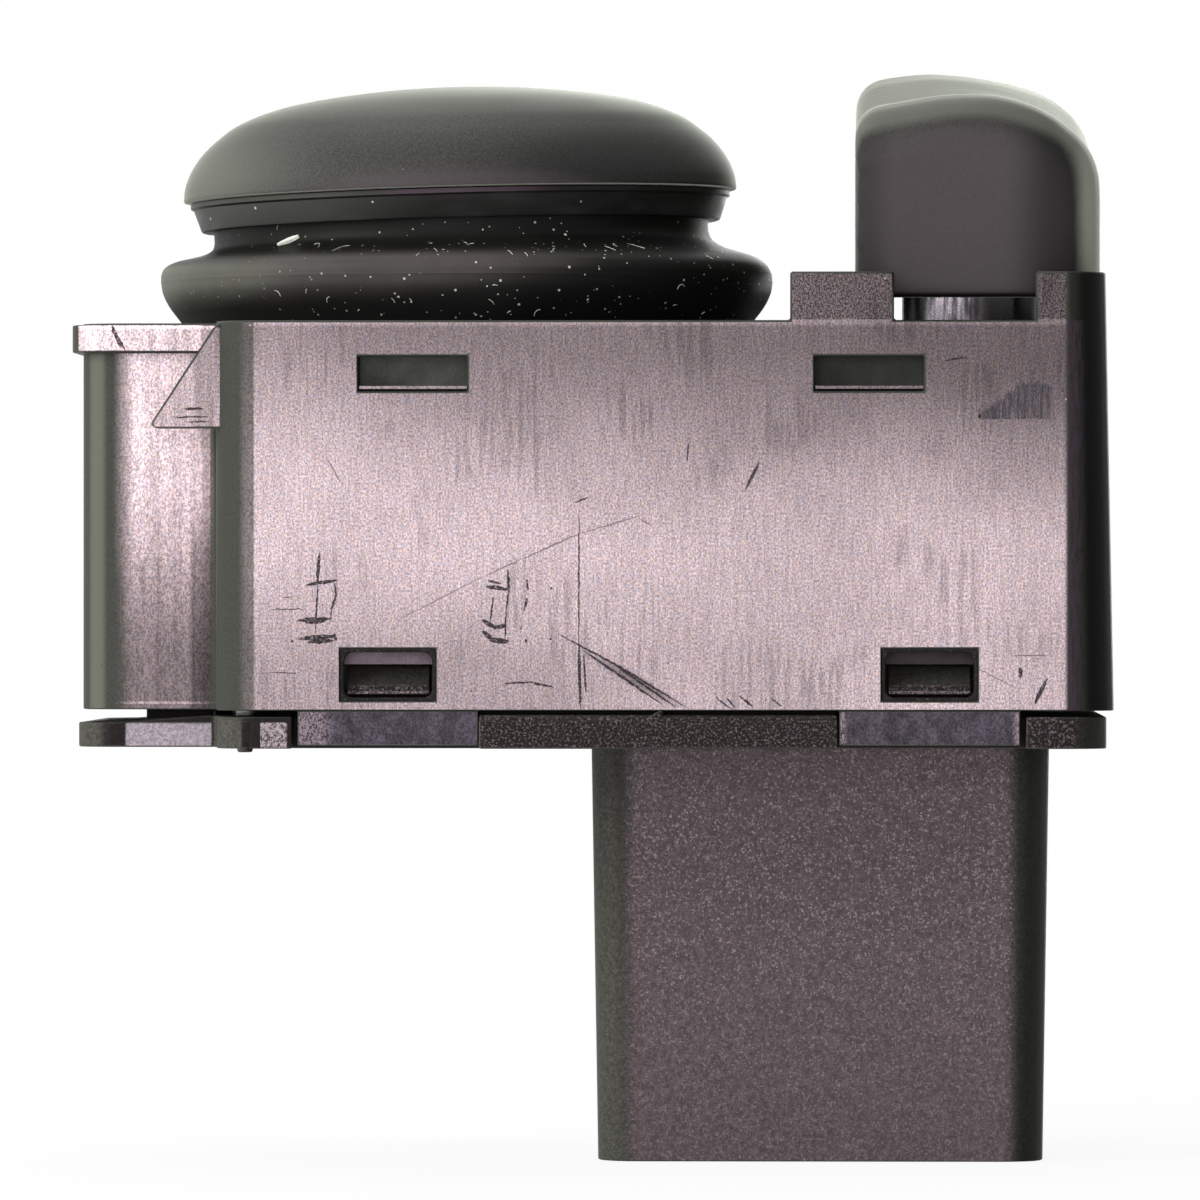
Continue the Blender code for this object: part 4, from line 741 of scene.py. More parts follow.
def plates(name, windows, half, outwards, upwards, finish, ease=True):
    """Thin plates in the same windows of both long walls, set out from the walls' inner faces."""
    shape = bmesh.new()
    outwards = [WALL_INSIDE + reach for reach in outwards]
    for centre in windows:
        twin_blocks(shape, (centre - half, centre + half), outwards, upwards)
    if ease:
        ease_edges(shape, 0.06)
    weighted(placed(name, shape, "root", finish))


POCKET_PLASTIC = pocket_plastic()
plates("clip_pockets", CLIP_WINDOWS, 3.1, (-0.28, -0.02), (-3.9, -1.45), POCKET_PLASTIC)
# The ledges take the case finish, so its painted sheen shows on their fronts as a bright line under each
# clip window.
plates("clip_ledges", CLIP_WINDOWS, 2.62, (-0.2, 1.44), (-3.34, -3.20), CASE_PLASTIC, ease=False)
plates("latch_ribs", LATCH_WINDOWS, 2.26, (0.05, 0.35), (-16.75, -15.9), POCKET_PLASTIC)
plates("latch_backs", LATCH_WINDOWS, 2.9, (-1.65, -1.35), (-18.9, -15.6), POCKET_PLASTIC)

# %% [markdown]
# ## Rounded window corners
# The latch windows have rounded corners, which the model leaves square. A corner could be rounded in the
# wall's own mesh, but the wall face joins its windows with hidden edges that spoil the bevel. So each
# window gets a thin dark ring that stands flush in it: a square outline bridged to a rounded one, then
# extruded into the wall. The ring is painted near-black, as painted shade along the window's edge.

# %% Round the latch windows
WINDOW_HALF = 2.30
WINDOW_LOW, WINDOW_HIGH = -18.5, -16.0
RING_LAND = 0.15
RING_RIM = 0.12
WINDOW_CORNER = 0.42
RING_FRONT, RING_DEPTH = 16.99, 0.75


def outline_edges(shape, centre, y, inset, corner):
    """The edges of an upright rectangle, with its corners rounded unless the corner is nought."""
    size = Matrix.Diagonal((2 * (WINDOW_HALF - inset), 1, WINDOW_HIGH - WINDOW_LOW - 2 * inset, 1))
    upright = Matrix.Rotation(math.radians(90), 4, "X")
    middle = Matrix.Translation((centre, y, (WINDOW_LOW + WINDOW_HIGH) / 2))
    verts = bmesh.ops.create_grid(shape, x_segments=1, y_segments=1, size=0.5,
                                  matrix=Matrix.Scale(MM, 4) @ middle @ size @ upright)["verts"]
    faces = list({face for vertex in verts for face in vertex.link_faces})
    if corner:
        rounded = bmesh.ops.bevel(shape, geom=verts, offset=corner * MM, offset_type="OFFSET",
                                  affect="VERTICES", segments=5, profile=0.5, material=-1)
        faces = list({face for vertex in rounded["verts"] for face in vertex.link_faces})
    edges = list({edge for face in faces for edge in face.edges})
    bmesh.ops.delete(shape, geom=faces, context="FACES_ONLY")
    return edges


shape = bmesh.new()
for side in (-1, 1):
    for centre in LATCH_WINDOWS:
        edges = []
        for inset, corner in ((0.0, 0.0), (RING_LAND, WINDOW_CORNER)):
            edges += outline_edges(shape, centre, side * RING_FRONT, inset, corner)
        ring = bmesh.ops.bridge_loops(shape, edges=edges)["faces"]
        deep = bmesh.ops.extrude_face_region(shape, geom=ring)["geom"]
        moved = [item for item in deep if isinstance(item, bmesh.types.BMVert)]
        bmesh.ops.translate(shape, verts=moved, vec=(0, -side * RING_DEPTH * MM, 0))
bmesh.ops.recalc_face_normals(shape, faces=shape.faces)


def ring_rim(edge):
    """Tell whether an edge is the front rim of a ring's rounded opening."""
    outer = [abs(vertex.co.y) > 16.9 * MM for vertex in edge.verts]
    centre = min(LATCH_WINDOWS, key=lambda x: abs(x * MM - edge.verts[0].co.x)) * MM
    middle = (WINDOW_LOW + WINDOW_HIGH) / 2 * MM
    half = (WINDOW_HALF - RING_LAND / 2) * MM
    tall = ((WINDOW_HIGH - WINDOW_LOW - RING_LAND) / 2) * MM
    inner = [abs(vertex.co.x - centre) < half and abs(vertex.co.z - middle) < tall for vertex in edge.verts]
    return all(outer) and all(inner)


def shaded_rim_plastic():
    """The window rim's plastic: the case's black, painted near-black as shade along the window's edge."""
    finish = Finish("shaded_rim_plastic", (0.014, 0.012, 0.013), 0.5, Specular_IOR_Level=0.08)
    grain = finish.noise(0.12, detail=2, rough=0.8)
    finish.tint(finish.step(grain, 0.56, 0.66), (0.10, 0.08, 0.085), 0.6)
    finish.roughen(finish.step(grain, 0.3, 0.7), 0.6)
    finish.bump(grain, 0.006)
    return finish.done()


ease_edges(shape, RING_RIM, angle=60, only=ring_rim)
placed("window_rings", shape, "root", shaded_rim_plastic())

# %% [markdown]
# ## The base and its socket
# The bottom cover and the connector shroud are one moulding in a darker plastic. The shroud's tool was
# spark-eroded, which leaves a coarse grain whose glitter is painted in as bright glints, denser higher up;
# the taupe lies on faces that look squarely out, the rounded corners keep painted shade, and the shroud's
# top is painted lighter. The cover's rim is nearly black, with a painted pale sheen only on the set-back
# bay. Two sizes of noise as bump give the grain, and small bright cells the painted glints.

# %% Dress the base
TAUPE = (0.108, 0.083, 0.092)
BASE_DARK = (0.038, 0.037, 0.032)
RIM_BROWN = (0.015, 0.0115, 0.012)
GLINT = (0.42, 0.345, 0.365)
PAINTED_BAY_SHEEN = (0.34, 0.29, 0.34)
BASE_BOTTOM = -20.85


def base_plastic():
    """Spark-eroded dark taupe below, nearly black above, with painted light on left-facing sides and painted
    shade on right-facing ones.
    """
    finish = Finish("base_plastic", BASE_DARK, 0.50, Specular_IOR_Level=0.08)
    along, height = finish.axis("X"), finish.axis("Z")
    square = finish.outwards("Y")
    flat = finish.step(square, 0.86, 0.9990)
    ends = finish.step(finish.outwards("X", 17.8 * MM), 0.985, 0.9995, 0.0, 0.8)
    flat = finish.maths("MAXIMUM", flat, ends)
    coarse = finish.noise(0.22, detail=3, rough=0.75)
    fine = finish.noise(0.09, detail=2, rough=0.85)
    rough_grain = finish.product(finish.step(coarse, 0.33, 0.67, 0.72, 1.28),
                                 finish.step(fine, 0.33, 0.67, 0.74, 1.30))
    socket = finish.span(height, BASE_BOTTOM + 0.1, BASE_BOTTOM + 0.02)
    ends_soft = finish.product(finish.span(along, 7.7, 8.9), finish.span(along, 27.7, 26.9))
    ends_soft = finish.maths("MAXIMUM", ends_soft, finish.span(height, BASE_BOTTOM, BASE_BOTTOM + 0.1))
    flat = finish.product(flat, finish.maths("MAXIMUM", ends_soft, finish.step(square, 0.5, 0.3)))
    # Painted light and shade: sides turned to the left are brightened, sides turned to the right darkened.
    right = finish.towards((1, 0, 0), 0.1, 0.6)
    left = finish.towards((-1, 0, 0), 0.1, 0.6)
    finish.shade(finish.gain(right, -0.60))
    finish.shade(finish.gain(left, 0.75))
    # The taupe goes only on faces that look squarely out, so rounded corners keep a darker painted shade,
    # and it is painted lighter towards the shroud's top.
    finish.tint(finish.product(flat, socket), finish.times(TAUPE, finish.span(height, -27, -21, 0.97, 1.22)))
    rim = finish.maths("SUBTRACT", 1.0, socket)
    finish.tint(finish.product(rim, flat), RIM_BROWN)
    # Painted sheen: the set-back bay's squarely facing rim takes a pale pinkish reflection as colour.
    bay = finish.product(rim, finish.span(along, -11.9, -12.0), finish.step(square, 0.97, 0.999),
                         finish.span(along, -16.45, -16.3),
                         finish.span(height, -19.6, -19.75))
    finish.tint(bay, PAINTED_BAY_SHEEN)
    ribbed = finish.product(rim, finish.span(finish.maths("ABSOLUTE", finish.axis("Y")), 16.3, 16.4),
                            finish.span(along, -7.9, -7.8), finish.span(along, 30.6, 30.0))
    barb = finish.product(finish.span(height, -18.24, -18.20), finish.span(height, -18.0, -18.1),
                          finish.step(fine, 0.42, 0.56))
    finish.tint(barb, (0.30, 0.24, 0.255), 0.8)
    finish.shade(rough_grain)
    # Painted glints: bright cells and specks stand in for the glitter of the eroded grain, thicker higher
    # up.
    glints = finish.step(finish.noise(0.13, detail=2, rough=0.7, shift=(0.1, 0.4, 0)), 0.56, 0.67)
    dense = finish.span(height, -40, -23, 0.40, 0.95)
    finish.tint(finish.product(glints, socket, flat, dense), GLINT, 0.8)
    finish.tint(finish.product(finish.specks(0.34, 0.14, spot=0.26), socket, flat, dense),
                (0.55, 0.46, 0.48), 0.75)
    crumbs = finish.step(finish.noise(0.13, detail=2, rough=0.8, shift=(0.2, 0, 0.3)), 0.53, 0.63)
    finish.tint(finish.product(crumbs, ribbed), (0.155, 0.122, 0.128), 0.9)
    finish.bump(coarse, 0.016)
    finish.bump(fine, 0.008)
    finish.roughen(finish.step(coarse, 0.3, 0.7), 0.62)
    return finish.done()


BASE_PLASTIC = base_plastic()
BAY_DROP = 0.34 * MM
BAY_END = -14.5 * MM
BAY_RIM_LOW = -19.6 * MM


def lower_bay(shape):
    """Sink the cover's left end a little, which leaves a slit of light under the bay."""
    for vertex in shape.verts:
        if vertex.co.x < BAY_END and vertex.co.z > BAY_RIM_LOW:
            vertex.co.z -= BAY_DROP


shape = merged("base")
spread_bay(shape, 2.2 * BAY_SPREAD)
lower_bay(shape)
ease_edges(shape, EDGE_EASE)
weighted(placed("base_cover", shape, "root", BASE_PLASTIC, ["base"]))

# %% [markdown]
# ## Trim on the base
# Between the case's tabs the cover carries a raised rib on each long side, with a small peak in its middle.
# Further left it has a short pad and a round foot on each side. They start as blocks and cones, and the
# bevel rounds them over.

# %% Build the base trim
RIB_LEFT, RIB_STEP, RIB_RIGHT = 1.25, 9.85, 18.70
RIB_TOP, RIB_LEDGE = -19.20, -19.42
RIB_ROOT = 15.6
PEAK_X, PEAK_Y = 9.9, 16.8
LIP_INSIDE, LIP_OUTSIDE = 15.20, 15.44
RIB_EASE, PAD_EASE = 0.13, 0.12
shape = bmesh.new()
for along, upwards, reach in (((RIB_LEFT, RIB_RIGHT), (BASE_BOTTOM, RIB_LEDGE), 17.02),
                              ((RIB_LEFT, RIB_STEP), (RIB_LEDGE - 0.2, RIB_TOP), 16.90),
                              ((RIB_STEP, RIB_RIGHT), (RIB_LEDGE - 0.2, RIB_TOP), 16.75)):
    twin_blocks(shape, along, (RIB_ROOT, reach), upwards)
twin_blocks(shape, (RIB_LEFT, RIB_RIGHT), (LIP_INSIDE, LIP_OUTSIDE), (RIB_LEDGE, -18.9))
twin_blocks(shape, (-15.5, -12.2), (6.5, 9.0), (-19.6, -18.8))
for side in (-1, 1):
    peak = bmesh.ops.create_cone(shape, cap_ends=True, segments=3, radius1=0.62 * MM, radius2=0.62 * MM,
                                 depth=0.5 * MM)["verts"]
    turned = Matrix.Rotation(math.radians(90), 4, "X") @ Matrix.Rotation(math.radians(90), 4, "Z")
    place = Matrix.Translation(Vector((PEAK_X, side * PEAK_Y, RIB_LEDGE)) * MM)
    bmesh.ops.transform(shape, matrix=place @ turned, verts=peak)
ease_edges(shape, RIB_EASE, segments=3)
weighted(placed("base_ribs", shape, "root", BASE_PLASTIC))


def pad_plastic():
    """Pale mottled plastic of the small pads."""
    finish = Finish("pad_plastic", (0.36, 0.29, 0.32), 0.5, Specular_IOR_Level=0.2)
    grain = finish.noise(0.16, detail=3, rough=0.9)
    finish.shade(finish.step(grain, 0.38, 0.62, 0.10, 1.4))
    finish.roughen(finish.step(grain, 0.3, 0.7), 0.65)
    finish.bump(grain, 0.02)
    return finish.done()


PAD_PLASTIC = pad_plastic()
FOOT_X, FOOT_Y, FOOT_Z = -10.15, 16.6, -20.25
shape = bmesh.new()
twin_blocks(shape, (-9.40, -8.05), (15.9, 17.06), (BASE_BOTTOM + 0.02, -19.55))
ease_edges(shape, PAD_EASE, segments=3)
weighted(placed("base_pads", shape, "root", PAD_PLASTIC))
shape = bmesh.new()
for side in (-1, 1):
    foot = bmesh.ops.create_cone(shape, cap_ends=True, segments=24, radius1=0.38 * MM, radius2=0.42 * MM,
                                 depth=1.55 * MM)["verts"]
    bmesh.ops.translate(shape, verts=foot, vec=Vector((FOOT_X, side * FOOT_Y, FOOT_Z)) * MM)
ease_edges(shape, PAD_EASE, segments=3)
placed("base_feet", shape, "root", BASE_PLASTIC)

# %% [markdown]
# ## Turned pieces
# The dome, its ring and the boot are round. Each is one profile, spun about the axis. The dome's and the
# boot's are smooth curves through a few measured points. Their Bezier handles are worked out from the
# neighbouring points, so only the points that the shape needs are written down.

# %% Define smooth profiles and spinning
def smooth_profile(points, steps=6):
    """Points along a smooth curve through the given (radius, height) points, in millimetres."""
    path = [Vector((radius, 0, height)) * MM for radius, height in points]
    found = [path[0]]
    for index in range(len(path) - 1):
        before = path[max(index - 1, 0)]
        start, end = path[index], path[index + 1]
        after = path[min(index + 2, len(path) - 1)]
        span = (end - start).length
        lean_in = (end - before).normalized() * span / 3
        lean_out = (after - start).normalized() * span / 3
        found += interpolate_bezier(start, start + lean_in, end - lean_out, end, steps + 1)[1:]
    return found


def spun(profile, steps=144, closed=True):
    """A bmesh turned about Z from a profile."""
    shape = bmesh.new()
    verts = [shape.verts.new(point) for point in profile]
    edges = [shape.edges.new(pair) for pair in zip(verts, verts[1:])]
    if closed:
        edges.append(shape.edges.new((verts[-1], verts[0])))
    bmesh.ops.spin(shape, geom=verts + edges, cent=(0, 0, 0), axis=(0, 0, 1), dvec=(0, 0, 0),
                   angle=math.radians(360), steps=steps, use_merge=True, use_duplicate=False)
    bmesh.ops.remove_doubles(shape, verts=shape.verts, dist=1e-7)
    bmesh.ops.recalc_face_normals(shape, faces=shape.faces)
    return shape


print("profiles ready")

# %% [markdown]
# ## The dome and its ring
# The dome is hard plastic with a soft-touch lacquer: a dark velvety grey that is lighter where it is seen
# along the surface. Sheen on the shader gives part of that pale rim, which plain roughness can't; the rest
# is painted into the colour by the way the surface faces, as painted light on the left and top and painted
# shade on the right and underneath. The ring below it is bare gloss plastic, with painted light on its
# left. Both lean with the stem, so their profiles are turned by the same angle about the pivot.

# %% Make the soft-touch finish and the dome
KNOB_LEAN = math.radians(1.5)
PIVOT = Vector((0, 0, -6.0)) * MM
LEANING = Matrix.Translation(PIVOT) @ Matrix.Rotation(-KNOB_LEAN, 4, "Y") @ Matrix.Translation(-PIVOT)
DOME_OUTSIDE = [(0, 12.14), (2.2, 12.09), (4.3, 11.95), (7.1, 11.62), (9.3, 11.17), (11.15, 10.46),
                (12.25, 9.68), (13.02, 8.93), (13.54, 8.14), (13.83, 7.38), (13.9, 6.80)]
DOME_WALL = 1.3
# Painted rim light: the pale grey laid on soft-touch where it faces left, up or out to the side.
PAINTED_RIM_LIGHT = (0.150, 0.153, 0.130)


def soft_touch():
    """Soft-touch lacquer with a little dust, painted lighter on its rims, tops and left sides and darker on
    its right and lower sides.
    """
    finish = Finish("soft_touch", (0.040, 0.039, 0.038), 0.58, Specular_IOR_Level=0.20, Sheen_Weight=0.70,
                    Sheen_Roughness=0.22, Sheen_Tint=(0.94, 1.0, 0.86, 1))
    cloud = finish.noise(6, detail=2)
    fine = finish.noise(0.10, detail=2, rough=0.8)
    along = finish.axis("X")
    selector = finish.span(along, 18, 19)
    finish.shade(finish.vary(cloud, 0.88, 1.12))
    finish.shade(finish.step(fine, 0.34, 0.66, 0.66, 1.38))
    # Painted shade on sides turned to the right.
    shaded_side = finish.towards((1, -0.25, 0), 0.1, 0.7)
    finish.shade(finish.gain(shaded_side, -0.55))
    # A painted purple sheen on faces turned to the front and down.
    finish.tint(finish.towards((0, -1, -0.25), 0.80, 1.0), (0.072, 0.058, 0.064), 0.7)
    # Painted shade on the selector's front face towards both its ends.
    face = finish.product(selector, finish.towards((0, -1, 0), 0.7, 0.95))
    finish.shade(finish.gain(finish.product(face, finish.span(along, 26.6, 29.4)), -0.78))
    finish.shade(finish.gain(finish.product(face, finish.span(along, 21.6, 19.9)), -0.45))
    # Painted light: the selector's right side and top are painted pale, as the light seen along them.
    finish.tint(finish.product(selector, finish.towards((1, -0.1, 0), 0.45, 0.85)), (0.25, 0.255, 0.215))
    finish.tint(finish.product(selector, finish.towards((0, -0.15, 1), 0.42, 0.66)), PAINTED_RIM_LIGHT, 0.62)
    # Painted rim light on the left, the right edge and the top of each soft-touch part.
    for direction, start, amount in (((-1, 0, 0.15), 0.42, 0.9), ((1, 0.1, 0), 0.88, 0.9),
                                     ((0, 0, 1), 0.70, 0.5)):
        finish.tint(finish.towards(direction, start, 1.02), PAINTED_RIM_LIGHT, amount)
    # Painted shade on faces turned downwards.
    finish.shade(finish.gain(finish.towards((0, 0, -1), 0.3, 0.8), -0.9))
    finish.tint(finish.specks(0.9, 0.20, spot=0.06), LINT, 0.7)
    finish.tint(finish.specks(2.7, 0.25, spot=0.03, shift=(0.1, 0.2, 0.3)), LINT, 0.9)
    finish.bump(fine, 0.005)
    finish.roughen(finish.step(cloud, 0.3, 0.7), 0.68)
    return finish.done()


SOFT_TOUCH = soft_touch()
inside = [(max(radius - DOME_WALL, 0), height - DOME_WALL) for radius, height in DOME_OUTSIDE[:-1]]
hem = [Vector((radius, 0, height)) * MM for radius, height in ((13.87, 6.70), (12.6, 6.68))]
profile = smooth_profile(DOME_OUTSIDE) + hem + smooth_profile(inside)[::-1]
shape = spun(profile, closed=False)
bmesh.ops.transform(shape, matrix=LEANING, verts=shape.verts)
placed("dome_cap", shape, "knob", SOFT_TOUCH, ["adjuster_cap"])

# %% Make the ring
def ring_black():
    """Bare black plastic with a soft gloss and some dust, with a painted faint purple sheen in front and
    painted light on its left.
    """
    finish = Finish("ring_black", (0.012, 0.0115, 0.011), 0.40, Specular_IOR_Level=0.12)
    wipe = finish.noise(3, stretch=(1, 1, 3), detail=2)
    fine = finish.noise(0.08, detail=2)
    finish.tint(finish.step(wipe, 0.45, 0.75), (0.030, 0.029, 0.029), 0.7)
    # Painted light on the left side and a painted purple sheen in front.
    left = finish.towards((-0.75, -0.6, 0), 0.55, 1.0)
    finish.tint(left, (0.062, 0.064, 0.055), 0.9)
    finish.tint(finish.towards((0.05, -1, 0), 0.93, 1.0), (0.085, 0.052, 0.076), 0.7)
    finish.tint(finish.specks(0.6, 0.16, spot=0.13), LINT, 0.8)
    finish.roughen(finish.step(wipe, 0.3, 0.7), 0.50)
    finish.bump(fine, 0.004)
    return finish.done()


RING_BLACK = ring_black()
RING_OUTLINE = [(0, 7.36), (12.3, 7.36), (12.3, 6.62), (13.50, 6.62), (13.56, 6.58), (13.56, 6.36),
                (13.40, 6.26), (13.06, 5.27), (13.01, 5.19), (12.92, 5.16), (5.2, 5.16), (5.2, 2.56),
                (3.5, 2.56), (3.5, 5.56), (0, 5.56)]
shape = spun([Vector((radius, 0, height)) * MM for radius, height in RING_OUTLINE], closed=False)
bmesh.ops.transform(shape, matrix=LEANING, verts=shape.verts)
placed("dome_ring", shape, "knob", RING_BLACK, ["adjuster_ring"])

# %% [markdown]
# ## The rubber boot
# The boot is a soft bellows: a fat roll that stands on the deck and a neck that follows the ring. When the
# dome tilts, the neck goes with it and the roll gives way. So it is made as two halves that meet at the
# roll's widest line: the lower one reaching from the case to the gimbal, the upper from the gimbal to the
# dome, whose points are turned with the dome's lean, from none at the seam to all of it near the top.

# %% Make the boot
BOOT_OUTSIDE = [(14.15, 0.05), (14.50, 0.50), (14.86, 0.97), (15.12, 1.40), (15.30, 1.85), (15.38, 2.35)]
BOOT_UPPER = [(15.38, 2.35), (15.34, 2.75), (15.12, 3.15), (14.60, 3.47), (13.85, 3.68), (13.10, 3.90),
              (12.62, 4.18), (12.45, 4.50), (12.42, 4.90), (12.45, 5.30)]
BOOT_WALL = 0.8
LEAN_START, LEAN_END = 2.35 * MM, 4.9 * MM


def boot_rubber():
    """Black rubber with a dull gloss, dusted with lint, with painted light on the roll's left and front and
    painted shade on the right.
    """
    finish = Finish("boot_rubber", (0.011, 0.0105, 0.010), 0.44, Specular_IOR_Level=0.08)
    cloud = finish.noise(4, detail=3)
    fine = finish.noise(0.12, detail=3)
    roll = finish.span(finish.axis("Z"), 3.75, 3.25)
    # Painted light on the roll: greyer and paler towards the upper left, with a painted purple highlight in
    # front.
    for direction, start, end, colour, amount in (
            ((-0.50, -0.74, 0.44), 0.40, 0.97, (0.072, 0.069, 0.064), 0.9),
            ((-1, -0.1, 0.1), 0.55, 1.0, (0.150, 0.152, 0.125), 0.85),
            ((0.05, -0.93, 0.36), 0.90, 1.0, (0.078, 0.060, 0.066), 0.5)):
        finish.tint(finish.product(finish.towards(direction, start, end), roll), colour, amount)
    finish.shade(finish.vary(cloud, 0.86, 1.14))
    # Painted shade on sides turned to the right.
    finish.shade(finish.gain(finish.towards((1, 0, 0), 0.0, 0.8), -0.5))
    dusty = finish.span(finish.axis("X"), -13, 2, 0.25, 1.0)
    for size, share, spot, shift in ((0.42, 0.45, 0.17, 0.0), (0.75, 0.50, 0.12, 0.3),
                                     (0.27, 0.28, 0.20, 0.6)):
        specks = finish.specks(size, share, spot=spot, shift=(shift, shift / 2, shift / 3))
        finish.tint(finish.product(specks, dusty), LINT, 0.9)
    finish.roughen(finish.step(cloud, 0.3, 0.7), 0.54)
    finish.bump(fine, 0.004)
    return finish.done()


def follow_lean(shape):
    """Turn the points of the boot with the dome: not at all in the roll, wholly at the neck."""
    for vertex in shape.verts:
        vertex.co = vertex.co.lerp(LEANING @ vertex.co, eased(vertex.co.z, LEAN_START, LEAN_END))


def boot_half(name, outline):
    """One half of the boot: a thin wall turned from its outline."""
    outer = smooth_profile(outline)
    inner = [Vector((point.x - BOOT_WALL * MM, 0, point.z)) for point in outer[::-1]]
    shape = spun(outer + inner)
    follow_lean(shape)
    half = placed(name, shape, None, BOOT_RUBBER, ["boot"])
    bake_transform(half)


BOOT_RUBBER = boot_rubber()
boot_half("boot_roll", BOOT_OUTSIDE)
boot_half("boot_neck", BOOT_UPPER)

# %% [markdown]
# ## Lint on the boot
# Rubber holds lint, and on this one it is plain to see: short pale fibres and curls. Each is a thin tube
# along a small arc that lies on the rubber. A tube is a circle swept along the arc; here a short curve
# object with a bevel makes it, and the result is joined into one mesh for each half of the boot, which
# bends as its half does. One larger crumb on the neck is made the same way.

# %% Lay the lint
LINT_LIFT = 0.03 * MM
LINT_THICKNESS, CRUMB_THICKNESS = 0.018, 0.17


def rubber_radius(outline, height):
    """The boot's radius at a height."""
    path = smooth_profile(outline)
    return min(path, key=lambda point: abs(point.z - height)).x


def fibre(curve, outline, angle, height, length, slant, bow):
    """Add one fibre to a curve object, bowed along the rubber."""
    spline = curve.splines.new("POLY")
    spline.points.add(6)
    for index, point in enumerate(spline.points):
        share = index / 6 - 0.5
        across = length * share * math.cos(slant) - bow * (1 - 4 * share * share) * math.sin(slant)
        up = length * share * math.sin(slant) + bow * (1 - 4 * share * share) * math.cos(slant)
        radius = rubber_radius(outline, (height + up) * MM) + LINT_LIFT
        turn = angle + across * MM / radius
        point.co = (radius * math.sin(turn), -radius * math.cos(turn), (height + up) * MM, 1)
        point.radius = 0.5 + 0.5 * math.cos(share * 2.6)


def lint(name, outline, fibres, thickness):
    """Fibres that bend with one half of the boot."""
    curve = bpy.data.curves.new(name, "CURVE")
    curve.dimensions = "3D"
    curve.bevel_depth = thickness * MM
    curve.bevel_resolution = 1
    curve.use_fill_caps = True
    for each in fibres:
        fibre(curve, outline, *each)
    strands = bpy.data.objects.new(name, curve)
    scene.collection.objects.link(strands)
    shape = baked(strands)
    bmesh.ops.remove_doubles(shape, verts=shape.verts, dist=1e-7)
    follow_lean(shape)
    piece = placed(name, shape, None, LINT_WHITE)
    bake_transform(piece)


def lint_white():
    """Pale cotton lint."""
    finish = Finish("lint_white", (0.80, 0.79, 0.74), 0.9, Specular_IOR_Level=0.1)
    patches = finish.noise(0.3)
    finish.shade(finish.vary(patches, 0.7, 1.1))
    finish.roughen(patches, 0.8)
    finish.bump(patches, 0.01)
    return finish.done()


LINT_WHITE = lint_white()
chance = random.Random(7)
NECK_FIBRES = [(-0.76, 5.05, 0.55, 0.4, 0.18), (-0.55, 3.95, 0.55, -0.4, 0.15),
               (-0.42, 3.75, 0.6, 0.5, 0.12), (0.70, 3.7, 0.4, -0.6, 0.05), (0.62, 3.75, 0.3, 0.4, 0.05)]
NECK_FIBRES += [(chance.uniform(-0.2, 1.0), chance.uniform(3.2, 4.2), chance.uniform(0.12, 0.32),
                 chance.uniform(-1.2, 1.2), chance.uniform(0, 0.06)) for _ in range(10)]
ROLL_FIBRES = [(-0.62, 1.45, 0.4, -0.8, 0.1), (-0.43, 1.1, 0.35, 0.9, 0.08), (0.12, 0.95, 0.4, -0.7, 0.05),
               (0.28, 0.45, 0.4, 0.9, 0.1), (0.80, 1.75, 0.5, 0.3, 0.18)]
ROLL_FIBRES += [(chance.uniform(-0.6, 1.0), chance.uniform(0.4, 2.0), chance.uniform(0.12, 0.28),
                 chance.uniform(-1.2, 1.2), chance.uniform(0, 0.05)) for _ in range(8)]
lint("neck_lint", BOOT_UPPER, NECK_FIBRES, LINT_THICKNESS)
lint("roll_lint", BOOT_OUTSIDE, ROLL_FIBRES, LINT_THICKNESS)
lint("neck_crumb", BOOT_UPPER, [(-0.71, 4.33, 1.35, 0.32, 0.0)], CRUMB_THICKNESS)

# %% [markdown]
# ## The selector knob
# The see-saw knob is a soft form: upright at its inner side, falling to the outer side, dished for the
# finger. The engineering model has that form in plain facets. Remeshing its copy evenly and letting the
# points settle towards their neighbours gives the rounded skin of the real moulding.

# %% Make the selector knob
SKIN_VOXEL = 0.22 * MM
SELECTOR_X = 25.55 * MM
SELECTOR_HALF = 6.0 * MM
SELECTOR_LENGTH = 28.0 * MM
CROWN_LOW, CROWN_HIGH = 7.5 * MM, 10.5 * MM
CROWN_RISE, NEAR_RISE = 0.20, 0.34
END_LOW = 2.5 * MM
END_LEAN = 0.09
END_SKIN = 0.10 * MM
END_ROUND = 1.2 * MM


def settled(node, voxel, rounds):
    """A bmesh of a node, remeshed evenly and smoothed."""
    shape = merged(node)
    bmesh.ops.triangulate(shape, faces=shape.faces)
    mesh = bpy.data.meshes.new("raw_" + node)
    shape.to_mesh(mesh)
    shape.free()
    raw = bpy.data.objects.new("raw_" + node, mesh)
    scene.collection.objects.link(raw)
    remesh = raw.modifiers.new("even", "REMESH")
    remesh.mode = "VOXEL"
    remesh.voxel_size = voxel
    smooth = raw.modifiers.new("settle", "SMOOTH")
    smooth.iterations = rounds
    smooth.factor = 0.5
    return baked(raw)


def crowned(shape):
    """Raise the crown's outer half and lower its inner shoulder, most at the near end."""
    for vertex in shape.verts:
        across = (vertex.co.x - SELECTOR_X) / SELECTOR_HALF
        swing = -math.cos(math.pi * (across + 0.75))
        swing = max(swing, 0) if across > 0.25 else swing
        depth = min(max(0.5 - vertex.co.y / SELECTOR_LENGTH, 0), 1)
        rise = (CROWN_RISE + NEAR_RISE * depth) * MM * swing
        vertex.co.z += rise * eased(vertex.co.z, CROWN_LOW, CROWN_HIGH)


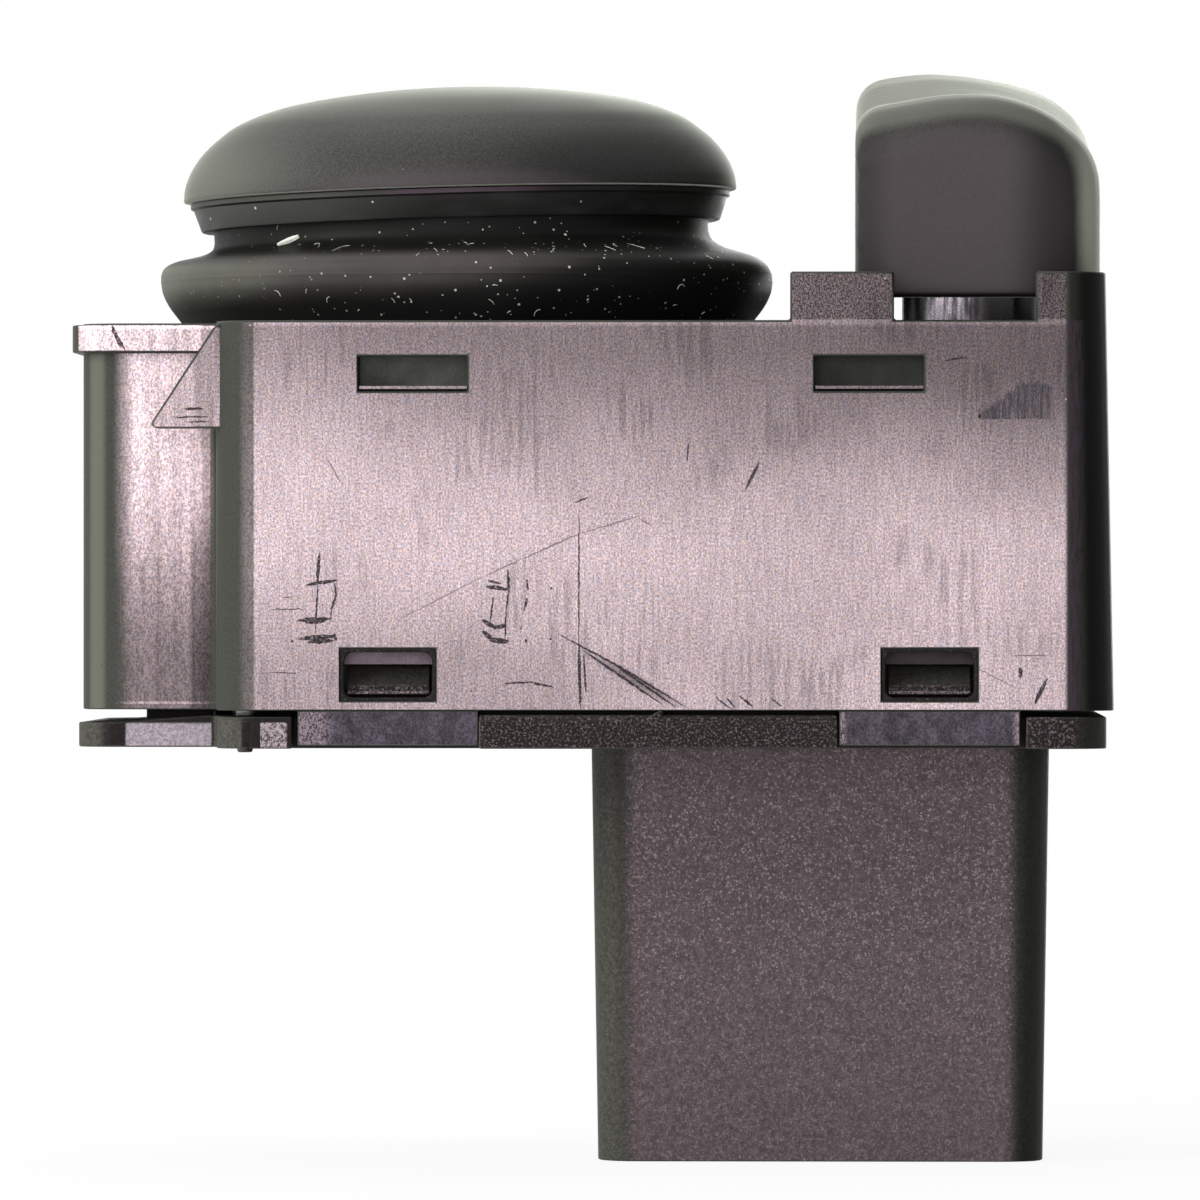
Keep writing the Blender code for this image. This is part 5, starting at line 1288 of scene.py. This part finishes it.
def round_end(shape, radius):
    """Round the top edge at the knob's front end, whose face leans a little, as a finger would feel it."""
    front = min(vertex.co.y + END_LEAN * vertex.co.z for vertex in shape.verts)
    for vertex in shape.verts:
        behind = vertex.co.y + END_LEAN * vertex.co.z - front
        inside = min(max((behind - END_SKIN) / radius, 0), 1)
        fall = radius * (1 - math.sqrt(max(1 - (1 - inside) ** 2, 0)))
        vertex.co.z -= fall * eased(vertex.co.z, END_LOW, CROWN_HIGH)


shape = settled("selector_knob", SKIN_VOXEL, 14)
crowned(shape)
round_end(shape, END_ROUND)
placed("selector_cap", shape, "selector", SOFT_TOUCH, ["selector_knob"], smooth=80)

# %% [markdown]
# ## The drum
# Under the knob shows the glossy neck of the drum that carries it: smooth black plastic with faint vertical
# streaks. Its reflection of the front lamp is painted in as bright vertical streaks in front, near-white and
# partly metallic.

# %% Dress the drum
def gloss_black():
    """Polished black plastic with a painted highlight of bright vertical streaks in front."""
    finish = Finish("gloss_black", (0.016, 0.015, 0.016), 0.22, Specular_IOR_Level=0.3)
    streaks = finish.noise(0.30, stretch=(1, 1, 0.06), detail=4, rough=0.7)
    fine = finish.noise(0.1, detail=2)
    # Painted highlight: in the middle of the front the streaks are painted near-white and partly metallic,
    # as the front lamp's reflection.
    middle = finish.product(finish.span(finish.axis("X"), 22.8, 23.3),
                            finish.span(finish.axis("X"), 26.4, 24.4))
    bright = finish.product(middle, finish.step(streaks, 0.38, 0.60, 0.25, 1.0))
    finish.tint(bright, (0.95, 0.84, 0.95))
    finish.metal = finish.maths("MULTIPLY", bright, 0.55)
    finish.tint(finish.step(streaks, 0.55, 0.75), (0.10, 0.08, 0.10), 0.6)
    finish.roughen(finish.step(fine, 0.3, 0.7), 0.30)
    finish.bump(streaks, 0.006)
    return finish.done()


GLOSS_BLACK = gloss_black()
DRUM_END = 27.6 * MM
DRUM_STRETCH = 0.40 * MM
shape = merged("selector_drum")
for vertex in shape.verts:
    if vertex.co.x > DRUM_END:
        vertex.co.x += DRUM_STRETCH
ease_edges(shape, EDGE_EASE)
weighted(placed("selector_neck", shape, "selector", GLOSS_BLACK, ["selector_drum"]))

# %% [markdown]
# ## What is inside
# The mechanism can only be guessed at through the windows, but each piece still gets the finish of what it
# is made of: natural plastic, silicone, glass-fibre board, brass, copper and ground steel. These nodes keep
# their own meshes and only take a new material.

# %% Finish the inner pieces
def natural_plastic():
    """Uncoloured moulded plastic, a little cloudy."""
    finish = Finish("natural_plastic", (0.42, 0.40, 0.35), 0.42, Subsurface_Weight=0.05)
    finish.shade(finish.vary(finish.noise(1.6), 0.88, 1.08))
    finish.bump(finish.noise(0.1, detail=2), 0.004)
    finish.roughen(finish.step(finish.noise(0.8), 0.3, 0.7), 0.52)
    return finish.done()


def cloudy(name, colour, roughness, shades, patches, ripple, **sockets):
    """A plain finish: clouds of shade, patches of another roughness and a soft ripple."""
    finish = Finish(name, colour, roughness, **sockets)
    size, low, high = shades
    finish.shade(finish.vary(finish.noise(size), low, high))
    size, other = patches
    finish.roughen(finish.noise(size), other)
    size, depth = ripple
    finish.bump(finish.noise(size), depth)
    return finish.done()


def board():
    """Green solder resist over a weave that just shows."""
    finish = Finish("board", (0.012, 0.085, 0.035), 0.35, Coat_Weight=0.4, Coat_Roughness=0.2)
    weave = finish.cells(0.55, feature="DISTANCE_TO_EDGE").outputs["Distance"]
    finish.shade(finish.step(weave, 0.0, 0.3, 0.82, 1.08))
    finish.bump(weave, 0.006)
    finish.roughen(finish.noise(0.6), 0.5)
    return finish.done()


def metal(name, colour, roughness, stretch):
    """Bare metal with drawing marks along one axis."""
    finish = Finish(name, colour, roughness, 1.0)
    marks = finish.noise(0.06, stretch=stretch, detail=3, rough=0.7)
    tarnish = finish.noise(0.9, detail=3)
    finish.shade(finish.vary(tarnish, 0.78, 1.05))
    finish.shade(finish.vary(marks, 0.92, 1.06))
    finish.roughen(finish.step(tarnish, 0.4, 0.7), min(roughness + 0.18, 0.7))
    finish.bump(marks, 0.003)
    return finish.done()


def finish_nodes(finish, slot, *names):
    """Give nodes of the model a material."""
    for name in names:
        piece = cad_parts[name]
        piece.data.materials.clear()
        piece.data.materials.append(finish)
    print(finish.name, "on", len(names))


PLUNGERS = [f"plunger_{side}" for side in ("right", "left", "front", "back")]
TERMINALS = [f"terminal_{number}" for number in range(1, 11)]
GIMBAL_PINS = [f"gimbal_pin_{side}" for side in ("right", "left", "front", "back")]
finish_nodes(natural_plastic(), "inner_plastic", "adjuster_stem", "swash_plate", "gimbal_ring",
             "plunger_guide", *PLUNGERS, "detent_plunger", "detent_track", "contact_slider")
silicone = cloudy("silicone", (0.55, 0.56, 0.52), 0.68, (2, 0.9, 1.06), (0.9, 0.78), (0.15, 0.005),
                  Sheen_Weight=0.15)
resin = cloudy("resin", (0.80, 0.70, 0.42), 0.12, (0.5, 0.85, 1.05), (0.4, 0.2), (0.2, 0.003),
               Coat_Weight=0.6)
finish_nodes(silicone, "silicone", "contact_mat")
finish_nodes(board(), "board", "circuit_board")
finish_nodes(resin, "lamp_resin", "lamp")
finish_nodes(metal("brass", (0.66, 0.55, 0.34), 0.28, (1, 1, 0.05)), "terminal_brass", *TERMINALS)
finish_nodes(metal("copper", (0.72, 0.40, 0.27), 0.26, (0.05, 1, 1)), "copper", "contact_bridge")
finish_nodes(metal("ground_steel", (0.52, 0.52, 0.54), 0.26, (0.05, 1, 1)), "pin_steel",
             "selector_pin", "detent_spring", *GIMBAL_PINS)
finish_nodes(BASE_PLASTIC, "base_plastic", "terminal_carrier")
